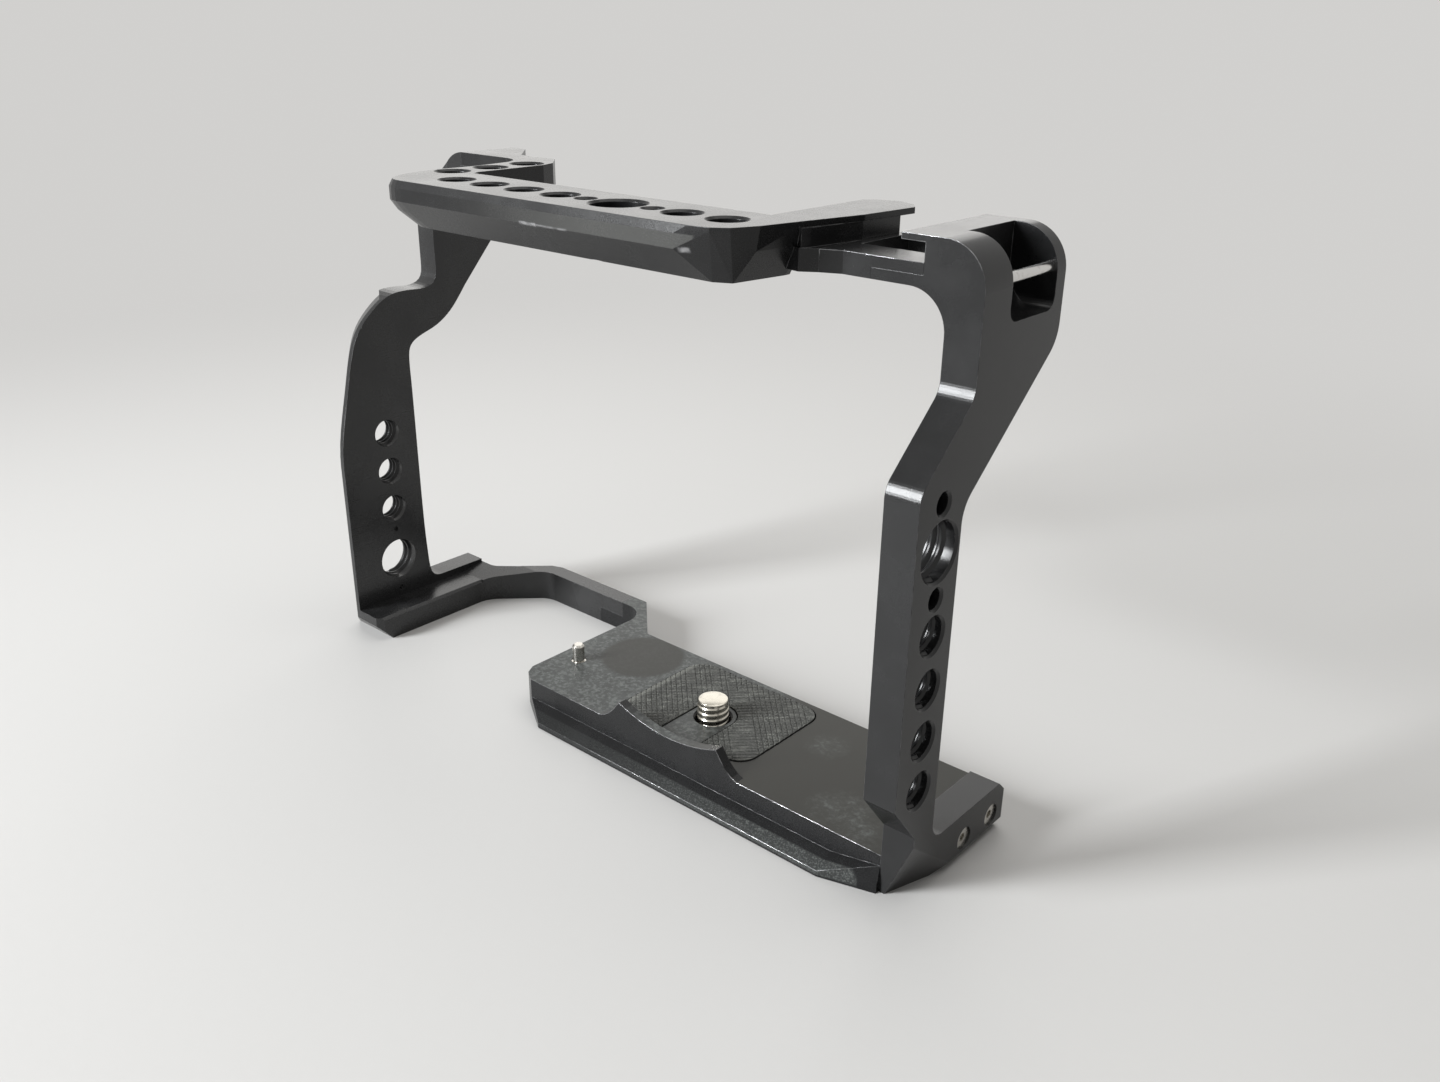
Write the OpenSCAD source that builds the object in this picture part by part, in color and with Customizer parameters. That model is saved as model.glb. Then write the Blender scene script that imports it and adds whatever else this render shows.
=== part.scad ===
// Camera cage: a milled frame that wraps a camera body, with its base plate, side arm,
// top bar, grip-side plate and rail, camera screw, stowed key and fasteners.
// +Z is up, -Y is the lens side, +X is the side arm. The origin is on the floor plane,
// midway between the two side plates and on the centre line of the base rail.

/* [Frame] */
// Width over the two side plates
cage_w = 156.5; // [150:0.5:170]
// Height from the floor to the top faces
cage_h = 108.1; // [104:0.5:125]
// Thickness of the side arm and of its foot
arm_t = 6; // [4.5:0.5:7]
// Thickness of the grip-side plate
grip_t = 5.5; // [4.5:0.5:6.5]
// Radius of the rounded top corner at the grip side
shoulder_r = 7.5; // [6:0.5:9]
// Radius of the rounded top corner of the arm's head
head_r = 6.9; // [5.5:0.1:7.5]

/* [Base plate] */
// Level of the base plate's top face
base_h = 7.3; // [7:0.1:9]
// Depth of the base plate's upper body
base_d = 31.4; // [30:0.2:34]
// Distance from the grip plate's outer face to the base plate's left edge
base_reach = 58.15; // [57:0.05:59]
// Size of the 45 degree cut at the front left corner
base_corner = 4; // [2:0.5:6]
// Width of the clamping rail along the bottom
rail_w = 39.4; // [37:0.1:41]
// Height of the clamping rail's upright edge
rail_edge = 1.2; // [0.4:0.1:1.6]
// Height at which the clamping slope ends
rail_slope_h = 3.1; // [2.5:0.1:4]
// Height at which the clamping slope ends beside the side arm
rail_slope_end_h = 5.2; // [4:0.1:6.8]
// Overhang of the clamping rail where it meets the side arm
rail_end_over = 0.9; // [0.4:0.1:1.5]
// Distance from the base plate's left edge to the clamping rail's beginning
rail_start_gap = 10.5; // [8:0.1:12]
// Distance from the clamping rail's end to the side arm
rail_end_gap = 10.25; // [8:0.25:14]
// Length of the rear ear, from the base plate's left edge to the grip rail
ear_l = 7.9; // [7:0.1:9.5]
// Radius of the inner corner between base and grip rail
ear_fillet = 5.5; // [3:0.5:6]

/* [Front lip] */
// Centre of the lip, on the lens axis
lip_x = 22.8; // [20:0.1:26]
// Width of the lip along its top
lip_w = 25.2; // [22:0.1:30]
// Height of the lip's ends
lip_h = 12.1; // [10.5:0.1:14]
// Height of the lip at its middle
lip_mid_h = 9.6; // [9:0.1:10.4]
// Thickness of the lip
lip_t = 2; // [1.5:0.1:4]
// Length of the ramp at the lip's left end
lip_ramp = 5.6; // [3:0.1:7]
// Length of the drop at the lip's right end
lip_drop = 5.2; // [3:0.1:7]

/* [Pad] */
// X of the pad's left and right edges
pad_left = 5; // [3:0.5:8]
// X of the pad's right edge
pad_right = 37.8; // [36:0.2:42]
// Y of the pad's front edge
pad_front = -10.8; // [-11.5:0.1:-10]
// Y of the pad's rear edge
pad_back = 14.2; // [12:0.2:14.6]
// Radius of the pad's corners
pad_r = 4; // [2:0.5:5]
// Thickness of the pad
pad_t = 1.3; // [0.8:0.1:1.4]
// Height by which the pad stands above the plate
pad_proud = 0.2; // [0:0.1:0.4]
// Gap round the pad in its recess
pad_gap = 0.3; // [0.1:0.1:0.5]
// Half the width of the pad's notch, and the radius of its round end
notch_r = 5; // [4:0.5:7]

/* [Camera screw] */
// X of the camera screw
screw_x = 22; // [20:0.1:24]
// Y of the camera screw
screw_y = -1.1; // [-3:0.1:1]
// Thread diameter of the quarter inch camera screw
screw_d = 6.35; // [6.35:0.05:6.35]
// Height of the screw above the base plate
screw_out = 4.1; // [3:0.1:6]
// Diameter of the screw's plain journal in the base plate
journal_d = 7; // [6.6:0.1:8]
// Diameter of the neck between the journal and the thread
neck_d = 5.2; // [4.8:0.1:5.6]
// Reach of the necks of screw and pin below and above the plate's top face
relief = 0.2; // [0.1:0.05:0.4]
// Diameter of the screw head
head_d = 13; // [11:0.5:13.5]
// Height of the screw head
head_h = 2.4; // [2:0.1:2.6]
// Radial gap round the screw head in its pocket
head_gap = 0.3; // [0.2:0.1:0.5]
// Radial running clearance of the journal in its hole
screw_play = 0.08; // [0.03:0.01:0.1]
// Drop of the screw before its head meets the retaining ring
screw_drop = 1.1; // [0.8:0.1:1.2]
// Width of the slot in the screw head
slot_w = 1.7; // [1.2:0.1:2]
// Depth of the slot in the screw head
slot_d = 1.2; // [0.8:0.1:1.5]
// Thickness of the thrust washer over the head
washer_t = 0.5; // [0.3:0.1:0.6]
// Outer diameter of the thrust washer
washer_d = 11; // [9:0.5:12]
// Thickness of the retaining ring
ring_t = 0.8; // [0.6:0.1:0.9]
// Radial width of the retaining ring
ring_b = 2.2; // [1.5:0.1:3]
// Depth of the retaining ring's groove
groove = 0.5; // [0.3:0.1:0.8]

/* [Locating pin] */
// Distance of the locating pin from the base plate's left edge
pin_edge = 5.1; // [3:0.1:6]
// Y of the locating pin
pin_y = -3; // [-5:0.1:-1]
// Diameter of the locating pin
pin_d = 2.6; // [2:0.1:3.5]
// Diameter of the locating pin's shank in the plate
pin_shank_d = 3.2; // [2.8:0.1:4]
// Diameter of the neck between the pin and its shank
pin_neck_d = 2.2; // [1.8:0.1:2.6]
// Height of the locating pin above the plate
pin_out = 3.8; // [2:0.1:5]
// Depth of the locating pin in the plate
pin_in = 4; // [3:0.5:5]

/* [Stowed key] */
// Length of the flat key
key_l = 27; // [20:1:28]
// Width of the flat key
key_w = 7; // [5:0.5:8]
// Thickness of the flat key
key_t = 1.4; // [1:0.1:1.6]
// Gap round the key in its slot
key_gap = 0.2; // [0.15:0.05:0.3]
// X of the key's centre line
key_x = 4; // [2:0.5:6]
// Level of the key's underside
key_z = 2; // [1.6:0.1:2.4]
// Travel of the key out of its slot
key_travel = 24; // [15:1:26]
// Diameter of the magnets that hold the key
magnet_d = 4; // [3:0.5:5]
// Thickness of the magnets that hold the key
magnet_t = 1.2; // [1:0.1:1.4]

/* [Threaded holes] */
// Diameter of the quarter inch threaded holes
quarter_d = 6.35; // [6.35:0.05:6.35]
// Diameter of the three eighth inch threaded holes
three_eighth_d = 9.525; // [9.525:0.005:9.525]
// Diameter of the locating holes beside them
locate_d = 3.4; // [3:0.1:3.8]
// Depth of the locating holes
locate_depth = 3.6; // [2:0.1:4]
// Distance of each locating hole from the three eighth inch hole
locate_pitch = 7.62; // [7.62:0.01:7.62]
// Pitch of the quarter inch holes
hole_pitch = 9.2; // [8.8:0.1:9.6]
// Diameter of the drill point through the grip plate
drill_point_d = 1.2; // [0.8:0.1:1.5]

/* [Side arm] */
// Y of the lower arm's front face
arm_front = -22.3; // [-23.5:0.1:-21]
// Depth of the lower arm
arm_d = 12.2; // [11:0.1:13]
// Y of the upper arm's front face
head_front = -9.6; // [-11:0.1:-8]
// Y of the arm head's rear face
head_back = 14.3; // [13:0.1:16]
// Distance from the top faces down to the front face's lower bend
bend_low_drop = 33.3; // [30:0.1:36]
// Distance from the top faces down to the front face's upper bend
bend_high_drop = 21.7; // [19:0.1:25]
// Distance from the top faces down to the rear face's lower bend
rear_low_drop = 38.3; // [36:0.1:42]
// Distance from the top faces down to the rear face's upper bend
rear_high_drop = 17.4; // [15:0.1:20]
// Radius of the arm's bends at its front
bend_r = 4; // [2:0.5:6]
// Radius of the arm's bends at its rear
rear_bend_r = 6; // [3:0.5:8]
// Level of the arm's lower front edge
arm_low = 22; // [20:0.5:24]
// Level where the arm's underside meets the foot
foot_h = 13.7; // [12:0.1:16]
// Level of the foot behind the arm
foot_back_h = 10; // [9:0.1:11]
// Y of the foot's rear end
foot_back = 14.6; // [13.5:0.1:16]
// Radius between the foot and the arm's rear edge
foot_fillet = 3.5; // [2:0.5:5]
// Chamfer along the foot's bottom edge
foot_chamfer = 1.9; // [1:0.1:2.5]
// Height of the triangular facet at the foot's front corner
facet_z = 11.8; // [9:0.2:13]
// Width of the triangular facet
facet_x = 4.9; // [3:0.1:5.5]
// Length of the triangular facet
facet_y = 15; // [12:0.5:18]
// Depth of the arm's head below the top faces
head_depth = 7.4; // [6.5:0.1:10]
// Radius under the arm head
head_fillet = 6.4; // [5:0.2:8]
// Width of the arm head's thin top flange
flange_w = 14.3; // [13:0.1:15]
// Width of the arm head under its flange
head_w = 10.2; // [9:0.1:11]
// Thickness of the thin top flanges
flange_t = 1; // [0.8:0.1:1.6]
// Y of the strap pocket's front wall
strap_front = -1.9; // [-3:0.1:0]
// Y of the strap pocket's rear wall
strap_back = 11.6; // [9:0.1:12]
// Depth of the strap pocket below the top faces
strap_depth = 12.3; // [10:0.1:14]
// Radius of the strap pocket's lower corners
strap_corner_r = 2; // [1:0.5:3]
// Distance from the arm's outer face to the strap pocket's inner wall
strap_in = 8; // [7:0.1:8.2]
// Radius at the bottom of the strap pocket's inner wall
strap_r = 5; // [3:0.5:6]
// Diameter of the steel strap pin
strap_pin_d = 1.8; // [1.5:0.1:2.5]
// Distance of the strap pin from the outer face
strap_pin_in = 1.5; // [1.4:0.1:3]
// Distance of the strap pin below the top faces
strap_pin_drop = 6.1; // [5:0.1:8]
// Depth of the strap pin in each wall
strap_pin_seat = 1.6; // [1:0.2:2]
// Distance of the side arm's three eighth inch hole below the lower bend
arm_big_drop = 10.5; // [10:0.1:12]
// Distance between it and the next quarter inch hole
big_pitch = 13.8; // [13:0.1:15]

/* [Corner bracket] */
// Thickness of the corner bracket
corner_t = 3.5; // [3:0.1:4.5]
// Distance from the arm's outer face to the seam against the top bar's side wall
corner_reach = 27.65; // [26:0.05:29]
// Length of the half lap under the top bar
corner_lap = 6; // [5:0.1:7]
// Distance from the arm's outer face to the dial opening
dial_in = 11.85; // [11.65:0.05:14]
// Width of the dial opening
dial_w = 14; // [12:0.1:14.4]
// Y of the dial opening's front side
dial_front = -2.7; // [-4:0.1:0]
// Y of the dial opening's rear side
dial_back = 10.6; // [8:0.1:11.2]
// Length of the half lap at the side arm
arm_lap = 9; // [7:0.5:10]

/* [Top bar] */
// Y of the top bar's front face
bar_front = -27.5; // [-29:0.1:-26]
// Y of the top bar's rear face
bar_back = -10.8; // [-12:0.1:-10]
// Height of the top bar
bar_h = 8.5; // [7.5:0.1:10]
// Distance from the top face to the crease where the front face turns under
crease_drop = 3.7; // [3:0.1:5]
// Length of the chamfer under the front face
bar_under = 3.7; // [2:0.1:5]
// Y of the row of holes in the top bar
bar_row = -18.8; // [-20:0.1:-18]
// X of the three eighth inch hole in the top bar
bar_big_x = 15.9; // [14:0.1:18]
// Distance from the grip plate's outer face to the bar's left end
bar_reach = 37.65; // [36.5:0.05:39]
// Distance from the bar's right end to the arm's outer face
bar_right_gap = 30.15; // [29:0.05:31]
// Width of the right extension
right_w = 9.6; // [8.5:0.1:10.5]
// Thickness of the left extension and of the shoulder
wing_t = 5.5; // [4:0.1:6]
// Distance of the left extension's holes from the bar's left end
wing_hole_in = 4.5; // [4:0.1:5]
// Y of the left extension's first hole
wing_hole_y = -11.6; // [-12:0.1:-11]

/* [Grip side] */
// Y of the grip plate's front edge
grip_front = -19.3; // [-20.5:0.1:-18]
// Width of the grip plate's front face, before its outer chamfer
grip_face = 1.2; // [0.6:0.1:3]
// Angle of the outer chamfer along the grip plate's front edge
grip_lean = 35; // [20:1:45]
// Y of the grip plate's rear edge
grip_rear = 1; // [0:0.1:3]
// Y of the neck's front edge
neck_front = 9.7; // [9:0.1:11.5]
// Y of the shoulder's front edge
wing_front = 10.6; // [10:0.1:12]
// Y of the neck's rear edge
neck_back = 26.1; // [24:0.1:27]
// Y of the shoulder's rear edge
wing_back = 25; // [23:0.1:26]
// Y of the grip plate's hole column
grip_row = -7.3; // [-8.5:0.1:-6.5]
// Level of the grip plate's three eighth inch hole
grip_big_z = 15.3; // [14:0.1:16.5]
// Level of the grip plate's lowest quarter inch hole
grip_hole_z = 28.2; // [27:0.1:30]
// Distance from the grip plate's outer face to the seam with the shoulder
neck_reach = 23.25; // [21:0.25:25]
// Length of the shoulder between its two seams
shoulder_l = 8; // [7:0.25:10]
// Distance from the top faces down to where the grip plate starts to lean back
lean_drop = 57.7; // [54:0.1:60]
// Distance from the top faces down to where the neck begins
neck_drop = 18.1; // [17:0.1:19]
// Length of the half lap between shoulder and grip plate
neck_lap = 7; // [6:0.5:8]
// Length of the half lap between shoulder and top bar
wing_lap = 8.4; // [8:0.1:9]

/* [Grip rail] */
// Distance from the grip plate's outer face to the grip rail's inner face
rail_reach = 13.25; // [12:0.25:16]
// Level of the ledge along the grip plate
ledge_h = 5.7; // [4.5:0.1:6.5]
// Length of the chamfer under the front end of grip plate and ledge
toe_y = 3.2; // [2:0.1:4]
// Height of that chamfer
toe_z = 3.6; // [2:0.1:4.5]
// Width of the grip rail behind the grip
rail_t = 4.1; // [3.5:0.1:5]
// Y of the grip rail's rear face
rail_back = 27.2; // [26:0.1:28]
// Size of the grip rail's 45 degree corner
rail_corner = 10.8; // [8:0.2:13]
// Length of the half lap at the base plate
rail_lap = 7.6; // [7:0.1:9]

/* [Fasteners] */
// Thread diameter of the countersunk frame screws
frame_screw_d = 2.5; // [2:0.1:2.6]
// Head diameter of the countersunk frame screws
frame_head_d = 4.4; // [4:0.1:4.6]
// Thread diameter of the small countersunk screws
small_screw_d = 2; // [1.6:0.1:2]
// Head diameter of the small countersunk screws
small_head_d = 3.4; // [3:0.1:3.5]
// Distance between two small screws
small_pitch = 3.8; // [3.6:0.1:4]
// Thread diameter of the grip and foot screws
side_screw_d = 3; // [2.5:0.1:3]
// Head diameter of the grip screws
side_head_d = 5.2; // [4.6:0.1:5.4]
// Length of the grip screws
grip_screw_l = 9; // [8:0.5:10]
// Head diameter of the foot screws
foot_head_d = 4.2; // [4:0.1:4.6]
// Height of the foot screws' heads
foot_head_h = 2; // [1.5:0.1:2.5]
// Length of the foot screws under the head
foot_screw_l = 9; // [7:0.5:12]
// Across-flats size of the hexagon sockets
hex_w = 1.5; // [1.3:0.1:2]
// Depth of the hexagon sockets
hex_d = 0.9; // [0.6:0.1:1.2]
// Distance from each screw tip to the end of its hole
tip_gap = 0.5; // [0.2:0.1:1]
// Radial clearance of clearance holes and seats
seat_gap = 0.02; // [0.01:0.01:0.05]

/* [Hidden] */
$fn = 48;
eps = 0.01;
big = 400;
black = "#2b2c2e";
steel = "#b9b6ae";
mouth_c = 0.4;
screw_tip = 0.6;
pin_tip = 0.4;
ring_split = 3;

arm_out = cage_w / 2;
arm_in = arm_out - arm_t;
grip_out = -cage_w / 2;
grip_in = grip_out + grip_t;
base_front = -base_d / 2;
base_back = base_d / 2;
rail_half = rail_w / 2;
arm_rear = arm_front + arm_d;
arm_row = (arm_front + arm_rear) / 2 + 0.5;
base_left = grip_out + base_reach;
ear_left = base_left - ear_l;
rail_start = base_left + rail_start_gap;
rail_end = arm_in - rail_end_gap;
pin_x = base_left + pin_edge;
corner_seam = arm_out - corner_reach;
corner_left = corner_seam - corner_lap;
dial_right = arm_out - dial_in;
dial_left = dial_right - dial_w;
head_low = cage_h - head_depth;
bend_low = cage_h - bend_low_drop;
bend_high = cage_h - bend_high_drop;
rear_low = cage_h - rear_low_drop;
rear_high = cage_h - rear_high_drop;
strap_floor = cage_h - strap_depth;
arm_big_z = bend_low - arm_big_drop;
arm_hole_z = arm_big_z - big_pitch;
bar_low = cage_h - bar_h;
bar_crease = cage_h - crease_drop;
bar_left = grip_out + bar_reach;
bar_right = arm_out - bar_right_gap;
right_in = corner_seam - right_w;
wing_seam = grip_out + neck_reach;
bar_seam = wing_seam + shoulder_l;
neck_top = cage_h - neck_drop;
lean_z = cage_h - lean_drop;
rail_in = grip_out + rail_reach;
head_in = arm_out - head_w;
flange_in = arm_out - flange_w;
corner_h = head_low + corner_t;
corner_mid = head_low + corner_t / 2;
wing_low = cage_h - wing_t;
wing_mid = cage_h - wing_t / 2;
rail_mid = base_h / 2;
arm_seam = head_in - arm_lap;

// Levels inside the camera screw's pocket, from the mouth upwards
ring_z = 0.2;
head_z = ring_z + ring_t + screw_drop;
washer_z = head_z + head_h;
pocket_top = washer_z + washer_t;
pocket_d = head_d + 2 * head_gap;
pad_floor = base_h + pad_proud - pad_t;
pad_limit = base_front + lip_t + 2 * pad_gap;
tripod_depth = 5.6;

// Slot for the stowed key
finger_l = 5;
blade_l = 3;
blade_cut = 0.3;
key_back = base_back - 0.2;
magnet_y = [key_back - 8, key_back - 20];

// Hole stations
arm_holes = [for (i = [0:floor((arm_hole_z - arm_low) / hole_pitch)]) arm_hole_z - i * hole_pitch];
grip_holes = [for (i = [0:floor((lean_z - grip_hole_z) / hole_pitch)]) grip_hole_z + i * hole_pitch];
bar_first = bar_big_x - big_pitch;
bar_last = bar_big_x + big_pitch + 0.2;
bar_holes = concat(
    [for (i = [0:floor((bar_first - bar_left - 2 * wing_hole_in) / hole_pitch)]) bar_first - i * hole_pitch],
    [for (i = [0:floor((right_in - bar_last) / hole_pitch)]) bar_last + i * hole_pitch]
);
wing_x = bar_left + wing_hole_in;
wing_holes = [for (i = [0:2]) wing_hole_y + i * hole_pitch];
tripod_x = [46, 56];
foot_screw_y = [1.3, 10.5];
foot_screw_z = 4.5;
foot_sink = 0.4;
foot_screw_in = foot_screw_l - (arm_t - foot_head_h - foot_sink);
rail_screw_y = rail_back - rail_t / 2;
rail_screw_x = [ear_left - 1.9, ear_left - 1.9 - small_pitch];
grip_screw_y = [grip_front + 8, grip_rear + 4];
grip_screw_z = ledge_h / 2;
arm_screw_x = arm_seam + arm_lap / 2 - 0.6;
arm_screw_y = [(head_front + dial_front) / 2, (dial_back + head_back) / 2];
corner_screw_x = (corner_left + corner_seam) / 2;
corner_screw_y = [-6, 7];
neck_screw_x = wing_seam - neck_lap / 2;
neck_screw_y = [wing_front + 3.5, wing_front + 9];
shoulder_screw_x = [bar_seam + 2.2, bar_seam + 2.2 + small_pitch];
wing_end_y = 16.4;
shoulder_screw_y = (wing_front + wing_end_y) / 2;
end_low = bar_low + 2.8;
facet_front_y = -11.1;
corner_facet_x = corner_seam + 3.4;
strip_back = 17;
ledge_end = 11;
ledge_rise = 10;
ledge_chamfer = 0.6;
corner_screw_l = corner_t - 1;
wing_screw_l = 5;
neck_screw_l = wing_t - 1.2;
shoulder_screw_l = wing_t - 1.2;
rail_screw_l = base_h - 1.2;
lap_back = 10;

// Bore along +Z from the origin, open at both ends
module bore(d, l) {
    translate([0, 0, -eps]) cylinder(d = d, h = l + 2 * eps);
}

// Chamfer at a hole's mouth: it widens towards +Z and its wide end is at the origin
module mouth(d) {
    translate([0, 0, -mouth_c]) cylinder(d1 = d, d2 = d + 2 * mouth_c + 2 * eps, h = mouth_c + eps);
}

// Blind hole along -Z with a small mouth chamfer, its mouth at the origin
module blind_hole(d, depth) {
    translate([0, 0, -depth]) cylinder(d = d, h = depth + eps);
    mouth(d);
}

// Threaded hole along +Z from the origin with both mouths chamfered
module threaded_hole(d, l) {
    bore(d, l);
    translate([0, 0, l]) mouth(d);
    mirror([0, 0, 1]) mouth(d);
}

// Turn +Z to +X, or to -X
module along_x(way = 1) {
    rotate([0, 90 * way, 0]) children();
}

// Outline given in X and Z, extruded along +Y from the front to the back
module xz_plate(front, back) {
    translate([0, back, 0]) rotate([90, 0, 0]) linear_extrude(back - front) children();
}

// Outline given in Y and Z, extruded along +X
module yz_plate(from_x, to_x) {
    translate([from_x, 0, 0]) rotate([90, 0, 90]) linear_extrude(to_x - from_x) children();
}

// Plan outline extruded between two levels
module slab(low, high) {
    translate([0, 0, low]) linear_extrude(high - low) children();
}

// Rectangle from its two corners
module area(x0, y0, x1, y1) {
    translate([x0, y0]) square([x1 - x0, y1 - y0]);
}

// Box from its two corners
module block(a, b) {
    translate(a) cube(b - a);
}

// Points of an arc round a centre, from one angle to another
function arc(c, r, a0, a1, n = 8) =
    [for (i = [0:n]) let (a = a0 + (a1 - a0) * i / n) c + r * [cos(a), sin(a)]];

function unit(v) = v / norm(v);

// Points of a rounded corner at b, between its neighbours a and c
function corner(a, b, c, r, n = 8) =
    let (
        u = unit(a - b), v = unit(c - b), half = acos(u * v) / 2,
        m = b + unit(u + v) * r / sin(half),
        p = b + u * r / tan(half) - m, q = b + v * r / tan(half) - m,
        start = atan2(p[1], p[0]), turn = atan2(p[0] * q[1] - p[1] * q[0], p * q)
    )
    [for (i = [0:n]) m + r * [cos(start + turn * i / n), sin(start + turn * i / n)]];

// Curve from one point to another that is drawn towards a third, without its last point
function bend(from, via, to, n = 4) =
    [for (k = [0:n - 1]) let (t = k / n) from * pow(1 - t, 2) + via * 2 * t * (1 - t) + to * t * t];

// Smooth line through the middles of the steps between given points
function smooth(p) = concat(
    [for (i = [1:len(p) - 2]) each bend((p[i - 1] + p[i]) / 2, p[i], (p[i] + p[i + 1]) / 2)],
    [(p[len(p) - 2] + p[len(p) - 1]) / 2]
);

// Triangular cut of a box corner: legs are its lengths along +X, +Y and +Z
module corner_cut(legs) {
    spare = 1;
    grow = 1 + spare / legs[0] + spare / legs[1] + spare / legs[2];
    low = [-spare, -spare, -spare];
    points = [low, low + [legs[0] * grow, 0, 0], low + [0, legs[1] * grow, 0], low + [0, 0, legs[2] * grow]];
    polyhedron(points, [[0, 1, 2], [0, 3, 1], [0, 2, 3], [1, 3, 2]]);
}

// Countersunk screw pointing to +Z, with its head's flat face at the origin
module flat_screw(d, head, l) {
    head_l = (head - d) / 2;
    difference() {
        union() {
            cylinder(d1 = head, d2 = d, h = head_l);
            translate([0, 0, head_l - eps]) cylinder(d = d, h = l - head_l + eps);
        }
        hex_socket();
    }
}

// Hexagon socket that opens downwards at the origin
module hex_socket() {
    translate([0, 0, -eps]) cylinder(d = hex_w / cos(30), h = hex_d, $fn = 6);
}

// Hole for a countersunk screw, with the head's recess starting at the origin
module flat_seat(d, head, l) {
    head_l = (head - d) / 2;
    translate([0, 0, -1]) cylinder(d = head + 2 * seat_gap, h = 1 + eps);
    cylinder(d1 = head + 2 * seat_gap, d2 = d + 2 * seat_gap, h = head_l);
    cylinder(d = d + 2 * seat_gap, h = l + tip_gap);
}

// Plan of the base plate's upper body with its rear ear
module base_plan() {
    ear_front = rail_back - rail_t;
    ear_right = ear_left + 4;
    step = rail_back - base_back;
    polygon([
        [base_left + base_corner, base_front], [arm_in, base_front], [arm_in, base_back],
        [ear_right + step, base_back], [ear_right, rail_back], [ear_left, rail_back],
        [ear_left, ear_front], [base_left, ear_front], [base_left, base_front + base_corner],
        [base_left + 0.3 * base_corner, base_front + 0.45 * base_corner]
    ]);
    // Inner corner towards the grip rail
    difference() {
        area(base_left - ear_fillet, ear_front - ear_fillet, base_left + eps, ear_front + eps);
        translate([base_left - ear_fillet, ear_front - ear_fillet]) circle(r = ear_fillet);
    }
}

// One side of the clamping rail: a slope over an upright edge, swept to the plate at both ends
module clamp_rail() {
    yz_plate(rail_start, rail_end) rail_section(rail_half, rail_slope_h);
    hull() {
        yz_plate(rail_start - eps, rail_start) rail_section(rail_half, rail_slope_h);
        block([base_left + base_corner, base_front, 0], [rail_start, base_front + 1, rail_slope_h]);
    }
    hull() {
        yz_plate(rail_end, rail_end + eps) rail_section(rail_half, rail_slope_h);
        yz_plate(arm_in - eps, arm_in) rail_section(rail_end_over - base_front, rail_slope_end_h);
    }
}

// Section of the clamping rail's front side in Y and Z, out to a given half width
module rail_section(half, top) {
    polygon([
        [base_front + 1, 0], [-half, 0], [-half, rail_edge], [base_front, top], [base_front + 1, top]
    ]);
}

// Outline of the lip in X and Z: two raised ends and a hollow between them
module lip_outline() {
    half = lip_w / 2;
    sag = lip_h - lip_mid_h;
    rise = lip_h - base_h;
    r = (half * half + sag * sag) / (2 * sag);
    swing = asin(half / r);
    left = lip_x - half;
    right = lip_x + half;
    foot = base_h + 0.1 * rise;
    polygon(concat(
        [[left - lip_ramp, base_h - eps]],
        bend([left - lip_ramp, base_h], [left - 0.5 * lip_ramp, foot], [left, lip_h]),
        arc([lip_x, lip_mid_h + r], r, -90 - swing, -90 + swing, 14),
        bend([right, lip_h], [right + 0.5 * lip_drop, foot], [right + lip_drop, base_h]),
        [[right + lip_drop, base_h - eps]]
    ));
}

// Outline of the pad, grown by a gap for its recess
module pad_outline(gap = 0) {
    offset(delta = gap) difference() {
        translate([pad_left + pad_r, pad_front + pad_r]) offset(r = pad_r)
            square([pad_right - pad_left - 2 * pad_r, pad_back - pad_front - 2 * pad_r]);
        // Notch from the front edge, round the camera screw
        area(screw_x - notch_r, pad_front - 1, screw_x + notch_r, screw_y);
        translate([screw_x, screw_y]) circle(r = notch_r);
    }
}

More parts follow.
